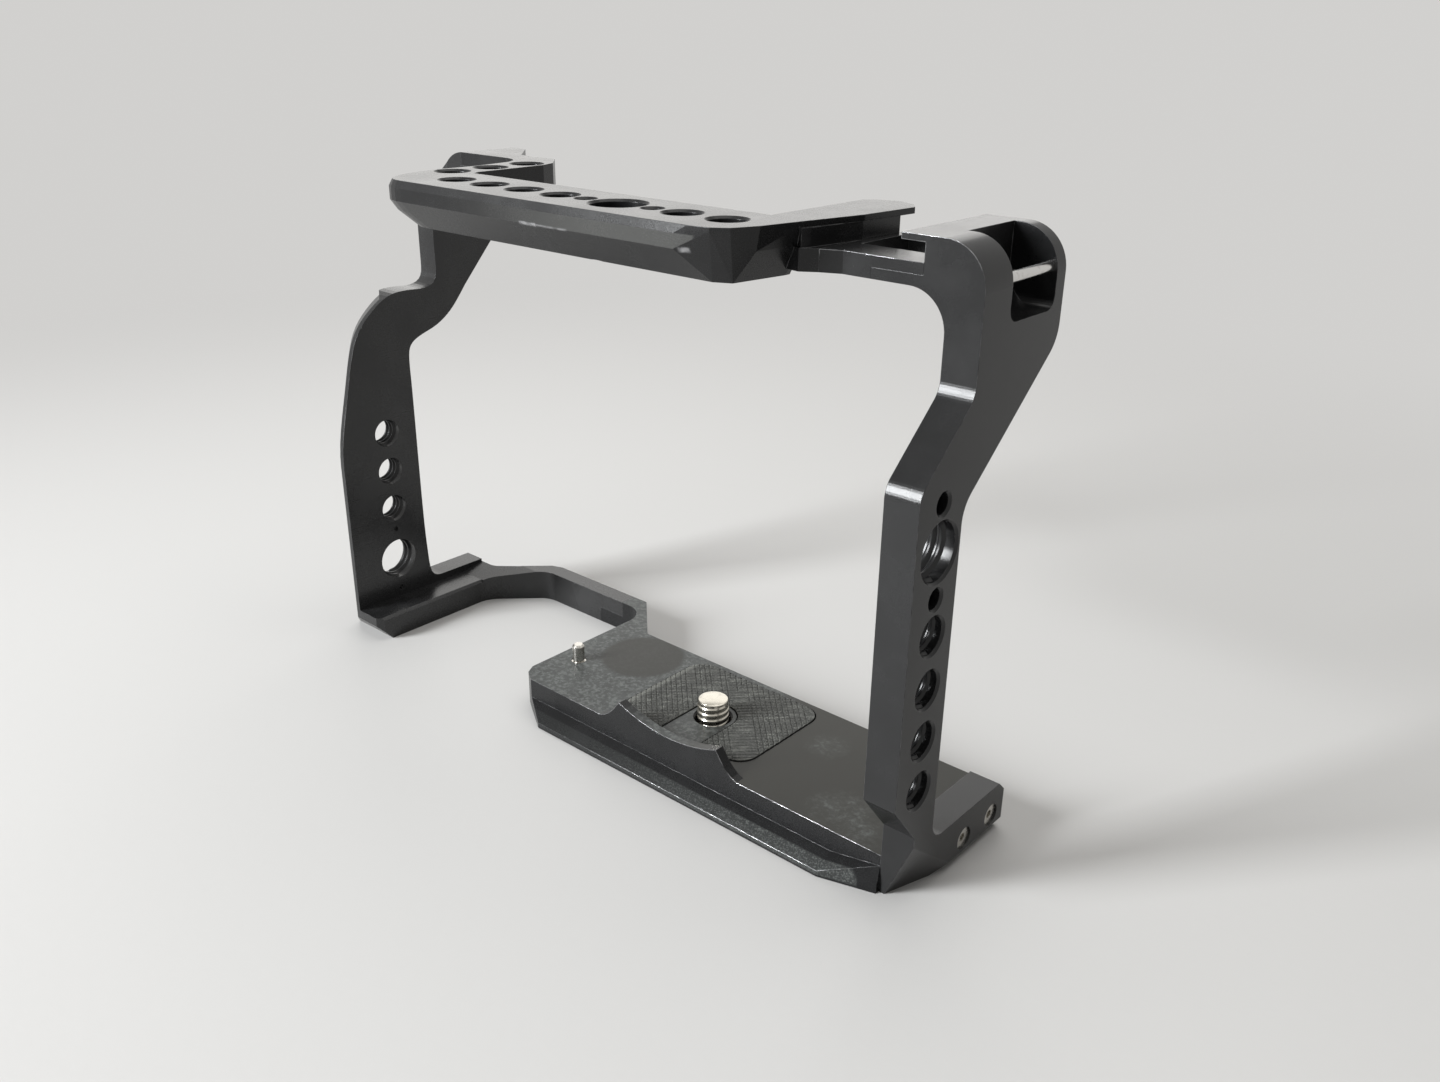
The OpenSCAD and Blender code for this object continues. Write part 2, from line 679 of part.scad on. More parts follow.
module base_plate() {
    color(black) difference() {
        union() {
            slab(0, base_h) base_plan();
            clamp_rail();
            mirror([0, 1, 0]) clamp_rail();
            xz_plate(base_front, base_front + lip_t) lip_outline();
            // Lower half lap under the grip rail
            block([ear_left - rail_lap, rail_back - rail_t, 0], [ear_left + eps, rail_back, rail_mid]);
        }
        // Recess for the pad
        slab(pad_floor, base_h + 1) intersection() {
            pad_outline(pad_gap);
            area(pad_left - 1, pad_limit - pad_gap, pad_right + 1, base_back - 1);
        }
        // Pocket, groove and hole for the camera screw
        translate([screw_x, screw_y, 0]) {
            translate([0, 0, -eps]) cylinder(d = pocket_d, h = pocket_top + eps);
            translate([0, 0, ring_z]) cylinder(d = pocket_d + 2 * groove, h = ring_t + seat_gap);
            cylinder(d = journal_d + 2 * screw_play, h = base_h + 1);
            translate([0, 0, base_h]) mouth(journal_d + 2 * screw_play);
        }
        // Seat of the locating pin
        translate([pin_x, pin_y, base_h - pin_in]) cylinder(d = pin_shank_d + 2 * seat_gap, h = pin_in + 1);
        // Slot for the key with its finger recess, and seats for its magnets
        block([key_x - key_w / 2 - key_gap, key_back - key_l - key_gap, key_z - key_gap],
              [key_x + key_w / 2 + key_gap, rail_half + 1, key_z + key_t + key_gap]);
        block([key_x - key_w / 2 - key_gap, key_back - finger_l, -1], [key_x + key_w / 2 + key_gap, rail_half + 1, key_z]);
        for (y = magnet_y) translate([key_x, y, key_z + key_t])
            cylinder(d = magnet_d + 2 * seat_gap, h = key_gap + magnet_t);
        // Mounting holes in the underside
        translate([tripod_x[0], 0, 0]) mirror([0, 0, 1]) blind_hole(quarter_d, tripod_depth);
        translate([tripod_x[1], 0, 0]) mirror([0, 0, 1]) blind_hole(three_eighth_d, tripod_depth);
        // Threads for the foot screws and for the grip rail's screws
        for (y = foot_screw_y) translate([arm_in, y, foot_screw_z]) along_x(-1)
            translate([0, 0, -eps]) cylinder(d = side_screw_d + 2 * seat_gap, h = foot_screw_in + tip_gap + eps);
        for (x = rail_screw_x) translate([x, rail_screw_y, 0])
            flat_seat(small_screw_d, small_head_d, base_h);
    }
}

module base_pad() {
    color("#33342f") slab(pad_floor, base_h + pad_proud) intersection() {
        pad_outline();
        area(pad_left, pad_limit, pad_right, base_back);
    }
}

// Shaft that stands out of the plate's top face on a narrower neck, with a chamfered tip
module necked_shaft(d, neck, out, tip) {
    translate([0, 0, base_h - relief - eps]) cylinder(d = neck, h = 2 * relief + 2 * eps);
    translate([0, 0, base_h + relief]) cylinder(d = d, h = out - relief - tip);
    translate([0, 0, base_h + out - tip]) cylinder(d1 = d, d2 = d - 2 * tip, h = tip);
}

module camera_screw() {
    color(steel) translate([screw_x, screw_y, 0]) difference() {
        union() {
            translate([0, 0, head_z]) cylinder(d = head_d, h = head_h);
            translate([0, 0, head_z]) cylinder(d = journal_d, h = base_h - relief - head_z);
            necked_shaft(screw_d, neck_d, screw_out, screw_tip);
        }
        block([-head_d, -slot_w / 2, head_z - 1], [head_d, slot_w / 2, head_z + slot_d]);
    }
}

module screw_washer() {
    color("#55524a") translate([screw_x, screw_y, washer_z]) difference() {
        cylinder(d = washer_d, h = washer_t);
        bore(journal_d + 2 * screw_play, washer_t);
    }
}

module retaining_ring() {
    color(steel) translate([screw_x, screw_y, ring_z]) difference() {
        cylinder(d = pocket_d + 2 * groove - 2 * seat_gap, h = ring_t);
        bore(pocket_d - 2 * ring_b, ring_t);
        block([0, -ring_split / 2, -1], [pocket_d, ring_split / 2, ring_t + 1]);
    }
}

module locating_pin() {
    color(steel) translate([pin_x, pin_y, 0]) {
        translate([0, 0, base_h - pin_in]) cylinder(d = pin_shank_d, h = pin_in - relief);
        necked_shaft(pin_d, pin_neck_d, pin_out, pin_tip);
    }
}

module key() {
    tip = key_back - key_l;
    color(steel) difference() {
        yz_plate(key_x - key_w / 2, key_x + key_w / 2) polygon([
            [tip, key_z + blade_cut], [tip + blade_l, key_z], [key_back, key_z],
            [key_back, key_z + key_t], [tip + blade_l, key_z + key_t], [tip, key_z + key_t - blade_cut]
        ]);
        // Nail hole
        translate([key_x, key_back - key_w / 2, key_z]) bore(key_w / 2, key_t);
    }
}

module key_magnets() {
    color(steel) for (y = magnet_y) translate([key_x, y, key_z + key_t + key_gap])
        cylinder(d = magnet_d, h = magnet_t);
}

// Outline of the side arm and its foot in Y and Z
module arm_outline() {
    low_front = [arm_front, bend_low];
    high_front = [head_front, bend_high];
    high_back = [head_back, rear_high];
    low_back = [arm_rear, rear_low];
    foot_front = [base_front, foot_h];
    polygon(concat(
        [[base_front, 0], foot_front, [arm_front, arm_low]],
        corner([arm_front, arm_low], low_front, high_front, bend_r),
        corner(low_front, high_front, [head_front, cage_h], bend_r),
        [[head_front, cage_h], [head_back, cage_h]],
        corner([head_back, cage_h], high_back, low_back, rear_bend_r),
        corner(high_back, low_back, [arm_rear, foot_h], rear_bend_r),
        arc([arm_rear + foot_fillet, foot_back_h + foot_fillet], foot_fillet, 180, 270),
        [[foot_back - foot_chamfer, foot_back_h], [foot_back, foot_back_h - foot_chamfer], [foot_back, 0]]
    ));
}

// Outline of the arm in X and Z: upright, head, thin flange and the tongue under the corner bracket
module arm_section() {
    difference() {
        union() {
            area(arm_in, 0, arm_out, cage_h);
            area(head_in, head_low, arm_out, cage_h);
            area(flange_in, cage_h - flange_t, arm_out, cage_h);
            area(arm_seam, head_low, arm_out, corner_mid);
            fillet([arm_in, head_low], head_fillet);
        }
        difference() {
            area(arm_out - head_r, cage_h - head_r, arm_out + 1, cage_h + 1);
            translate([arm_out - head_r, cage_h - head_r]) circle(r = head_r);
        }
        // Chamfer along the foot's bottom edge
        polygon([[arm_out - foot_chamfer, 0], [arm_out - foot_chamfer, -1], [arm_out + 1, -1],
                 [arm_out + 1, foot_chamfer], [arm_out, foot_chamfer]]);
    }
}

// Material that rounds an inner corner whose open side faces -X and -Z
module fillet(at, r) {
    difference() {
        area(at[0] - r, at[1] - r, at[0] + eps, at[1] + eps);
        translate(at - [r, r]) circle(r = r);
    }
}

module side_arm() {
    color(black) difference() {
        intersection() {
            yz_plate(arm_seam, arm_out) arm_outline();
            xz_plate(arm_front, foot_back) arm_section();
        }
        // Facet at the foot's front corner
        translate([arm_out, base_front, 0]) mirror([1, 0, 0]) corner_cut([facet_x, facet_y, facet_z]);
        // Dial opening
        block([arm_seam - 1, dial_front, head_low - 1], [dial_right, dial_back, corner_h + 1]);
        // Strap pocket, open upwards and outwards
        intersection() {
            xz_plate(strap_front, strap_back) strap_pocket();
            yz_plate(arm_in - strap_in, arm_out + 1) strap_mouth();
        }
        strap_rod(strap_pin_d + 2 * seat_gap, strap_pin_seat + seat_gap);
        // Column of threaded holes
        for (z = arm_holes) translate([arm_in, arm_row, z]) along_x() threaded_hole(quarter_d, arm_t);
        translate([arm_in, arm_row, arm_big_z]) along_x() threaded_hole(three_eighth_d, arm_t);
        for (side = [-1, 1]) translate([arm_out, arm_row, arm_big_z + side * locate_pitch])
            along_x() blind_hole(locate_d, locate_depth);
        // Counterbores and holes for the foot screws
        for (y = foot_screw_y) translate([arm_out, y, foot_screw_z]) along_x(-1) {
            translate([0, 0, -1]) cylinder(d = foot_head_d + 4 * seat_gap, h = 1 + foot_sink + foot_head_h);
            cylinder(d = side_screw_d + 2 * seat_gap, h = arm_t + 1);
        }
        // Screws of the lap joint with the corner bracket
        for (y = arm_screw_y) translate([arm_screw_x, y, head_low])
            flat_seat(frame_screw_d, frame_head_d, corner_screw_l);
    }
}

// Outline of the strap pocket in X and Z, round at the foot of its inner wall
module strap_pocket() {
    inner = arm_out - strap_in;
    polygon(concat(
        [[arm_out + 1, cage_h + 1], [inner, cage_h + 1]],
        arc([inner + strap_r, strap_floor + strap_r], strap_r, 180, 270),
        [[arm_out + 1, strap_floor]]
    ));
}

// Mouth of the strap pocket in Y and Z, round at its two lower corners
module strap_mouth() {
    r = strap_corner_r;
    low = strap_floor;
    polygon(concat(
        arc([strap_front + r, low + r], r, 180, 270), arc([strap_back - r, low + r], r, 270, 360),
        [[strap_back, cage_h + 1], [strap_front, cage_h + 1]]
    ));
}

// Rod along Y at the strap pin's place, let into both walls of the pocket
module strap_rod(d, seat) {
    translate([arm_out - strap_pin_in, strap_back + seat, cage_h - strap_pin_drop]) rotate([90, 0, 0])
        cylinder(d = d, h = strap_back - strap_front + 2 * seat);
}

module strap_pin() {
    color(steel) strap_rod(strap_pin_d, strap_pin_seat);
}

module foot_screws() {
    color(steel) for (y = foot_screw_y) translate([arm_out - foot_sink, y, foot_screw_z]) along_x(-1)
        difference() {
            union() {
                cylinder(d = foot_head_d, h = foot_head_h);
                cylinder(d = side_screw_d, h = foot_head_h + foot_screw_l);
            }
            hex_socket();
        }
}

// Plan of the corner bracket: a ring round the dial opening
module corner_plan() {
    difference() {
        polygon([
            [corner_seam, facet_front_y], [corner_facet_x, head_front], [head_in, head_front],
            [head_in, head_back], [corner_seam, head_back]
        ]);
        area(dial_left, dial_front, dial_right, dial_back);
    }
}

module corner_bracket() {
    color(black) difference() {
        union() {
            slab(head_low, corner_h) corner_plan();
            // Tongue under the top bar's right extension
            block([corner_left, head_front, head_low], [corner_seam + eps, lap_back, corner_mid]);
        }
        // Room for the arm's tongue
        block([arm_seam, -big, head_low - 1], [head_in + 1, big, corner_mid]);
        for (y = arm_screw_y) translate([arm_screw_x, y, head_low])
            flat_seat(frame_screw_d, frame_head_d, corner_screw_l);
        for (y = corner_screw_y) translate([corner_screw_x, y, head_low])
            flat_seat(frame_screw_d, frame_head_d, wing_screw_l);
    }
}

module arm_head_screws() {
    color(steel) for (y = arm_screw_y) translate([arm_screw_x, y, head_low])
        flat_screw(frame_screw_d, frame_head_d, corner_screw_l);
}

module corner_screws() {
    color(steel) for (y = corner_screw_y) translate([corner_screw_x, y, head_low])
        flat_screw(frame_screw_d, frame_head_d, wing_screw_l);
}

// Rounded left end of a level of the bar, from its front face to its rear face
function bar_end(front, out, step) = smooth([
    [bar_left + out + 14, front], [bar_left + out + 6, front], [bar_left + out + 2.2 + step, front + 3.4],
    [bar_left + out + step, front + 7.6], [bar_left + out, bar_back - 2], [bar_left + out, bar_back + 2]
]);

// Front bar, widest at its front face and cut back under it
module bar_body() {
    hull() {
        slab(cage_h - 0.6, cage_h) polygon(concat(bar_end(bar_front + 0.3, 0.5, 0.9), [
            [bar_left + 0.5, bar_back], [bar_right, bar_back], [bar_right, -12.8], [bar_right - 1.5, -20.3],
            [bar_right - 3.3, -24.8], [bar_right - 5.8, bar_front + 0.9], [bar_right - 9.6, bar_front + 0.3]
        ]));
        slab(bar_crease, cage_h - 1.4) polygon(concat(bar_end(bar_front, 0, 0), [
            [bar_left, bar_back], [bar_right - 0.7, bar_back], [bar_right - 1.9, -20.5], [bar_right - 12.1, bar_front]
        ]));
        // Lower left end, still full at this level
        slab(end_low, bar_crease) polygon(concat(
            bar_end(bar_front + bar_under * (bar_crease - end_low) / (bar_crease - bar_low), 0, 0),
            [[bar_left, bar_back], [0, bar_back]]
        ));
        slab(bar_low, bar_low + 0.4) polygon(concat(bar_end(bar_front + bar_under, 2.8, 1), [
            [bar_left + 2.8, bar_back], [bar_right - 3.1, bar_back], [bar_right - 3.1, -12],
            [bar_right - 4.7, -22.4], [bar_right - 7.5, bar_front + bar_under]
        ]));
    }
}

// Plan of the right extension's wall, up to its outer face
module right_plan() {
    polygon([
        [right_in, bar_back - 1], [right_in, lap_back], [corner_seam + 0.3, lap_back], [corner_seam, 0],
        [corner_seam - 0.7, -5], [corner_seam - 1.7, -11], [corner_seam - 2.3, -12.6], [bar_right - 1.6, bar_back - 1]
    ]);
}

// Plan of the thin flange on top of the right extension
module flange_plan() {
    polygon([
        [right_in, bar_back - 1], [right_in, 13.4], [right_in + 1.4, 15], [right_in + 5.4, 16.4],
        [right_in + 9, 15], [right_in + 11, 12.4], [corner_seam + 0.3, 0], [bar_right, -12.8],
        [bar_right - 1.6, bar_back - 1]
    ]);
}

// Plan of the left extension, which widens towards the shoulder
module left_plan() {
    sweep = bar_left - bar_seam;
    polygon(concat(
        [[bar_left + 10.4, bar_back - 1], [bar_left + 9, -9], [bar_left + 8.6, 7.6], [bar_left + 7.3, 11.3]],
        [[bar_left + 2.2, wing_end_y], [bar_seam, wing_end_y]],
        arc([bar_seam, wing_front - sweep], sweep, 90, 12, 5),
        [[bar_left + 0.8, -4], [bar_left + 0.5, -8], [bar_left, bar_back - 1]]
    ));
}

module top_bar() {
    color(black) difference() {
        union() {
            bar_body();
            slab(wing_low, cage_h) left_plan();
            slab(cage_h - flange_t, cage_h) flange_plan();
            slab(head_low, cage_h - flange_t + eps) right_plan();
            // Front corner beside the corner bracket
            slab(head_low, corner_h) polygon([
                [right_in, bar_back - 1], [bar_right, -12.8], [corner_seam, facet_front_y], [corner_seam, 0], [right_in, 0]
            ]);
        }
        // Row of threaded holes
        for (x = bar_holes) translate([x, bar_row, bar_low]) threaded_hole(quarter_d, cage_h - bar_low);
        translate([bar_big_x, bar_row, bar_low]) threaded_hole(three_eighth_d, cage_h - bar_low);
        for (side = [-1, 1]) translate([bar_big_x + side * locate_pitch, bar_row, cage_h])
            blind_hole(locate_d, locate_depth);
        for (y = wing_holes) translate([wing_x, y, wing_low]) threaded_hole(quarter_d, wing_t);
        // Room for the corner bracket, its tongue and its screws
        block([corner_left, head_front, head_low - 1], [corner_seam, lap_back + 1, corner_mid]);
        block([corner_seam, -big, head_low - 1], [big, big, corner_h]);
        for (y = corner_screw_y) translate([corner_screw_x, y, head_low])
            flat_seat(frame_screw_d, frame_head_d, wing_screw_l);
        // Room for the shoulder's tongue and its screws
        block([bar_seam - 1, wing_front - 1, wing_low - 1], [bar_seam + wing_lap, wing_end_y + 1, wing_mid]);
        for (x = shoulder_screw_x) translate([x, shoulder_screw_y, wing_low])
            flat_seat(small_screw_d, small_head_d, shoulder_screw_l);
    }
}

// Band that rises from the neck and turns over to the top faces, in X and Z
module band_outline() {
    c = [grip_out + shoulder_r + 9.3, cage_h - shoulder_r];
    knee = c + shoulder_r * [-cos(45), sin(45)];
    foot = knee[1] - (knee[0] - grip_out);
    inner_foot = foot - grip_t * tan(22.5);
    tongue_end = bar_seam + wing_lap;
    polygon(concat(
        [[grip_out, neck_top], [grip_out, foot]],
        arc(c, shoulder_r, 135, 90),
        [[tongue_end, cage_h], [tongue_end, wing_low], [grip_in + wing_low - inner_foot, wing_low]],
        [[grip_in, inner_foot], [grip_in, neck_top]]
    ));
}

// Plan of the shoulder, with its rear corner cut at 45 degrees
module wing_plan() {
    reach = wing_back - wing_end_y;
    tongue_end = bar_seam + wing_lap;
    polygon([
        [grip_out, neck_front], [grip_out + 6.25, neck_front], [grip_out + 11.25, wing_front], [tongue_end, wing_front],
        [tongue_end, wing_end_y], [bar_seam - 2, wing_end_y], [bar_seam - 2 - reach, wing_back], [grip_out, wing_back]
    ]);
}

module shoulder_band() {
    intersection() {
        xz_plate(neck_front, wing_back) band_outline();
        slab(0, cage_h + 1) wing_plan();
    }
}

module shoulder() {
    color(black) difference() {
        shoulder_band();
        // Room for the neck and its tongue
        block([grip_out - 1, -big, 0], [wing_seam - neck_lap, big, big]);
        block([grip_out - 1, -big, 0], [wing_seam, big, wing_mid]);
        // Room for the top bar
        block([bar_seam, -big, wing_mid], [big, big, big]);
        for (y = neck_screw_y) translate([neck_screw_x, y, wing_low])
            flat_seat(frame_screw_d, frame_head_d, neck_screw_l);
        for (x = shoulder_screw_x) translate([x, shoulder_screw_y, wing_low])
            flat_seat(small_screw_d, small_head_d, shoulder_screw_l);
    }
}

module shoulder_screws() {
    color(steel) for (x = shoulder_screw_x) translate([x, shoulder_screw_y, wing_low])
        flat_screw(small_screw_d, small_head_d, shoulder_screw_l);
}

module neck_screws() {
    color(steel) for (y = neck_screw_y) translate([neck_screw_x, y, wing_low])
        flat_screw(frame_screw_d, frame_head_d, neck_screw_l);
}

// Front edge of the grip plate's inner face in Y and Z, from below the lean up to the neck
function grip_curve() = smooth([
    [grip_front, lean_z - 14], [grip_front, lean_z - 4.4], [grip_front + 3.3, lean_z + 8.8],
    [grip_front + 4.3, lean_z + 13.2], [grip_front + 6.2, lean_z + 19.4], [grip_front + 10, lean_z + 23.8],
    [grip_front + 15.5, lean_z + 27.6], [grip_front + 21, lean_z + 27.9], [neck_front - 3.4, lean_z + 27.4],
    [neck_front, lean_z + 28.8], [neck_front, lean_z + 34]
]);

// Outline of the grip plate in Y and Z
module grip_outline() {
    polygon(concat(
        [[grip_front, toe_z], [grip_front, lean_z - 10]],
        grip_curve(),
        [[neck_front, neck_top], [neck_back, neck_top], [neck_back, lean_z + 36]],
        smooth([
            [neck_back - 7, lean_z + 28.6], [neck_back - 10, lean_z + 24.8], [neck_back - 13, lean_z + 21.4],
            [grip_rear + 8, lean_z + 18.6], [grip_rear + 2.6, lean_z + 17], [grip_rear, lean_z + 15.4],
            [grip_rear - 0.6, lean_z + 12.4], [grip_rear - 0.4, lean_z + 5.6], [grip_rear - 0.4, base_h + 17],
            [grip_rear, base_h + 7], [grip_rear + 0.4, base_h + 1.8], [grip_rear + 2, base_h],
            [grip_rear + 6, base_h], [strip_back, base_h]
        ]),
        [[strip_back, base_h], [strip_back, 0], [grip_front + toe_y, 0]]
    ));
}

// Outer chamfer along the grip plate's front edge: what lies behind its leaning face stays
module grip_chamfer() {
    edge = concat([[grip_front, -1]], [for (p = grip_curve()) if (p[1] < lean_z + 27) p]);
    last = edge[len(edge) - 1];
    translate([grip_in - grip_face, 0, 0]) rotate([0, 0, -grip_lean]) yz_plate(-big, big) polygon([
        each [for (p = concat(edge, [[last[0], cage_h + 1]])) [p[0] * cos(grip_lean), p[1]]],
        [big, cage_h + 1], [big, -1]
    ]);
}

module grip_plate() {
    color(black) difference() {
        union() {
            intersection() {
                yz_plate(grip_out, grip_in) grip_outline();
                grip_chamfer();
            }
            intersection() {
                shoulder_band();
                union() {
                    block([grip_out - 1, -big, neck_top - eps], [wing_seam - neck_lap, big, big]);
                    block([grip_out - 1, -big, neck_top - eps], [wing_seam, big, wing_mid]);
                }
            }
        }
        // Column of threaded holes, sharp at the inner face
        for (z = grip_holes) translate([grip_out, grip_row, z]) along_x() grip_hole(quarter_d);
        translate([grip_out, grip_row, grip_big_z]) along_x() grip_hole(three_eighth_d);
        for (side = [-1, 1]) translate([grip_out, grip_row, grip_big_z + side * locate_pitch]) {
            along_x(-1) blind_hole(locate_d, locate_depth);
            along_x() bore(drill_point_d, grip_t);
        }
        for (y = grip_screw_y) translate([grip_out, y, grip_screw_z]) along_x()
            flat_seat(side_screw_d, side_head_d, grip_screw_l);
        for (y = neck_screw_y) translate([neck_screw_x, y, wing_low])
            flat_seat(frame_screw_d, frame_head_d, neck_screw_l);
    }
}

// Threaded hole through the grip plate, chamfered at its outer mouth only
module grip_hole(d) {
    bore(d, grip_t);
    mirror([0, 0, 1]) mouth(d);
}

module grip_screws() {
    color(steel) for (y = grip_screw_y) translate([grip_out, y, grip_screw_z]) along_x()
        flat_screw(side_screw_d, side_head_d, grip_screw_l);
}

// Plan of the grip rail: along the grip plate, round the corner and back to the base plate
module grip_rail_plan() {
    front = rail_back - rail_t;
    side_end = [rail_in, front - rail_corner];
    back_end = [rail_in + rail_corner, front];
    polygon(concat(
        [[grip_in, strip_back], [grip_in, grip_front], [rail_in - 1.4, grip_front], [rail_in, grip_front + 1.4]],
        corner([rail_in, grip_front], side_end, back_end, 6),
        corner(side_end, back_end, [ear_left, front], 6),
        [[ear_left, front], [ear_left, rail_back], [grip_out + 24.85, rail_back], [grip_out + 22.05, rail_back - 1]],
        [[grip_out + 16.25, strip_back + 3.6], [grip_out + 10.85, strip_back + 0.4], [grip_out + 9.25, strip_back]]
    ));
}

module grip_rail() {
    color(black) difference() {
        slab(0, base_h) grip_rail_plan();
        // Ledge along the grip plate, which rises to full height round the corner
        yz_plate(grip_in - 1, rail_in + rail_corner) polygon([
            [grip_front - 1, base_h + 1], [grip_front - 1, ledge_h], [ledge_end, ledge_h],
            [ledge_end + ledge_rise, base_h], [ledge_end + ledge_rise, base_h + 1]
        ]);
        // Chamfer under the ledge's front end
        yz_plate(grip_out, rail_in + 1) polygon([
            [grip_front - toe_y, 2 * toe_z], [grip_front + toe_y, 0], [grip_front + toe_y, -1], [grip_front - toe_y, -1]
        ]);
        // Chamfer along the ledge's inner edge
        xz_plate(grip_front - 1, ledge_end) polygon([
            [rail_in - ledge_chamfer, ledge_h], [rail_in + 1, ledge_h - ledge_chamfer - 1],
            [rail_in + 1, ledge_h + 1], [rail_in - ledge_chamfer, ledge_h + 1]
        ]);
        // Room for the base plate's lap
        block([ear_left - rail_lap, -big, -1], [big, big, rail_mid]);
        for (x = rail_screw_x) translate([x, rail_screw_y, 0])
            flat_seat(small_screw_d, small_head_d, rail_screw_l);
        for (y = grip_screw_y) translate([grip_out, y, grip_screw_z]) along_x()
            flat_seat(side_screw_d, side_head_d, grip_screw_l);
    }
}

module rail_screws() {
    color(steel) for (x = rail_screw_x) translate([x, rail_screw_y, 0])
        flat_screw(small_screw_d, small_head_d, rail_screw_l);
}

base_plate();
base_pad();
camera_screw();
screw_washer();
retaining_ring();
locating_pin();
key();
key_magnets();
side_arm();
strap_pin();
foot_screws();
corner_bracket();
corner_screws();
arm_head_screws();
top_bar();
shoulder();
shoulder_screws();
neck_screws();
grip_plate();
grip_screws();
grip_rail();
rail_screws();
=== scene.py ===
"""Looks of a camera cage: black anodised frame, hatched pad, cut threads and steel screws."""

import logging
import math
from dataclasses import dataclass
from enum import Enum
from typing import Callable, Iterable, Union

import bpy
from mathutils import Matrix, Vector


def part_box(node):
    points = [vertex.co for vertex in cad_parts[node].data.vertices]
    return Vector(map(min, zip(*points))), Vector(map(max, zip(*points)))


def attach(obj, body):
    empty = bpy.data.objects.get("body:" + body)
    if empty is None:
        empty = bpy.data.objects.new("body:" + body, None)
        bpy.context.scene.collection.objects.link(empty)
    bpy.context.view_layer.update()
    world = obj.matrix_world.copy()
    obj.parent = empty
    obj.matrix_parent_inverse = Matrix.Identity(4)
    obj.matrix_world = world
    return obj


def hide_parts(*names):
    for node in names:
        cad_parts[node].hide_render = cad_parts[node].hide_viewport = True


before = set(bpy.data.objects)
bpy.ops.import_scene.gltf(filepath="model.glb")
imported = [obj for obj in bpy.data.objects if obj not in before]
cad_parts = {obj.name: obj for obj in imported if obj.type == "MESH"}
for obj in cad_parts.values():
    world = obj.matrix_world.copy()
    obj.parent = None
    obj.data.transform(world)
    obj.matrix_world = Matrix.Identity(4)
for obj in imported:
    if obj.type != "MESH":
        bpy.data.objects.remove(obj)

LOG = logging.getLogger("camera_cage")

MM = 0.001
BEVEL_SAMPLES = 6
NOISE_ROUGHNESS = 0.6

# Millimetres within which two points are one, and a point is on a line or level.
SAME_POINT = 0.002
SAME_LEVEL = 0.01

# Turns in radians under which two faces are flat, and under which they are shaded as one.
FLAT_TURN = 0.01
SMOOTH_TURN = math.radians(30)

# Outer radius and pitch of the two threads, in millimetres.
QUARTER_R, QUARTER_PITCH = 3.175, 1.27
THREE_EIGHTH_R, THREE_EIGHTH_PITCH = 4.7625, 1.5875

Colour = tuple[float, float, float]
Point = tuple[float, float, float]
Pair = tuple[float, float]
Limits = tuple[float, float]
Piece = bpy.types.Object
Material = bpy.types.Material
Socket = bpy.types.NodeSocket
Number = Union[float, "Maths"]


class Axis(Enum):
    """Direction of a hole's axis, as a turn about Y in degrees."""

    UP = 0.0
    OUT_RIGHT = 90.0

    def turned(self) -> Matrix:
        """Returns the matrix that turns +Z to this direction."""
        return Matrix.Rotation(math.radians(self.value), 4, "Y")


# ---- regions and noises


@dataclass(frozen=True)
class Box:
    """Part of a piece, in millimetres, whose finish differs.

    Attributes:
        low: its lowest corner.
        high: its highest corner.
        soft: half the width of its soft rim.
        strength: how much of the finish it takes.
        run: half the width of the rim at its low X end, where that is wider.
    """

    low: Point
    high: Point
    soft: float = 0.3
    strength: float = 1.0
    run: float = 0.0


@dataclass(frozen=True)
class Patch:
    """Round patch of an upward face, in millimetres, with a rim that is soft both ways."""

    centre: Pair
    radius: float
    soft: float


@dataclass(frozen=True)
class Mottle:
    """Noise that is fixed to a piece.

    Attributes:
        per_mm: its cells per millimetre.
        detail: its finer layers.
        cut: the limits between which it rises from 0 to 1, if it is cut.
        stretch: how many times longer the cells are along each axis.
        turn: turn of those axes about Z, in degrees.
    """

    per_mm: float
    detail: float = 2.0
    cut: Limits | None = None
    stretch: Point = (1.0, 1.0, 1.0)
    turn: float = 0.0


# ---- shader maths


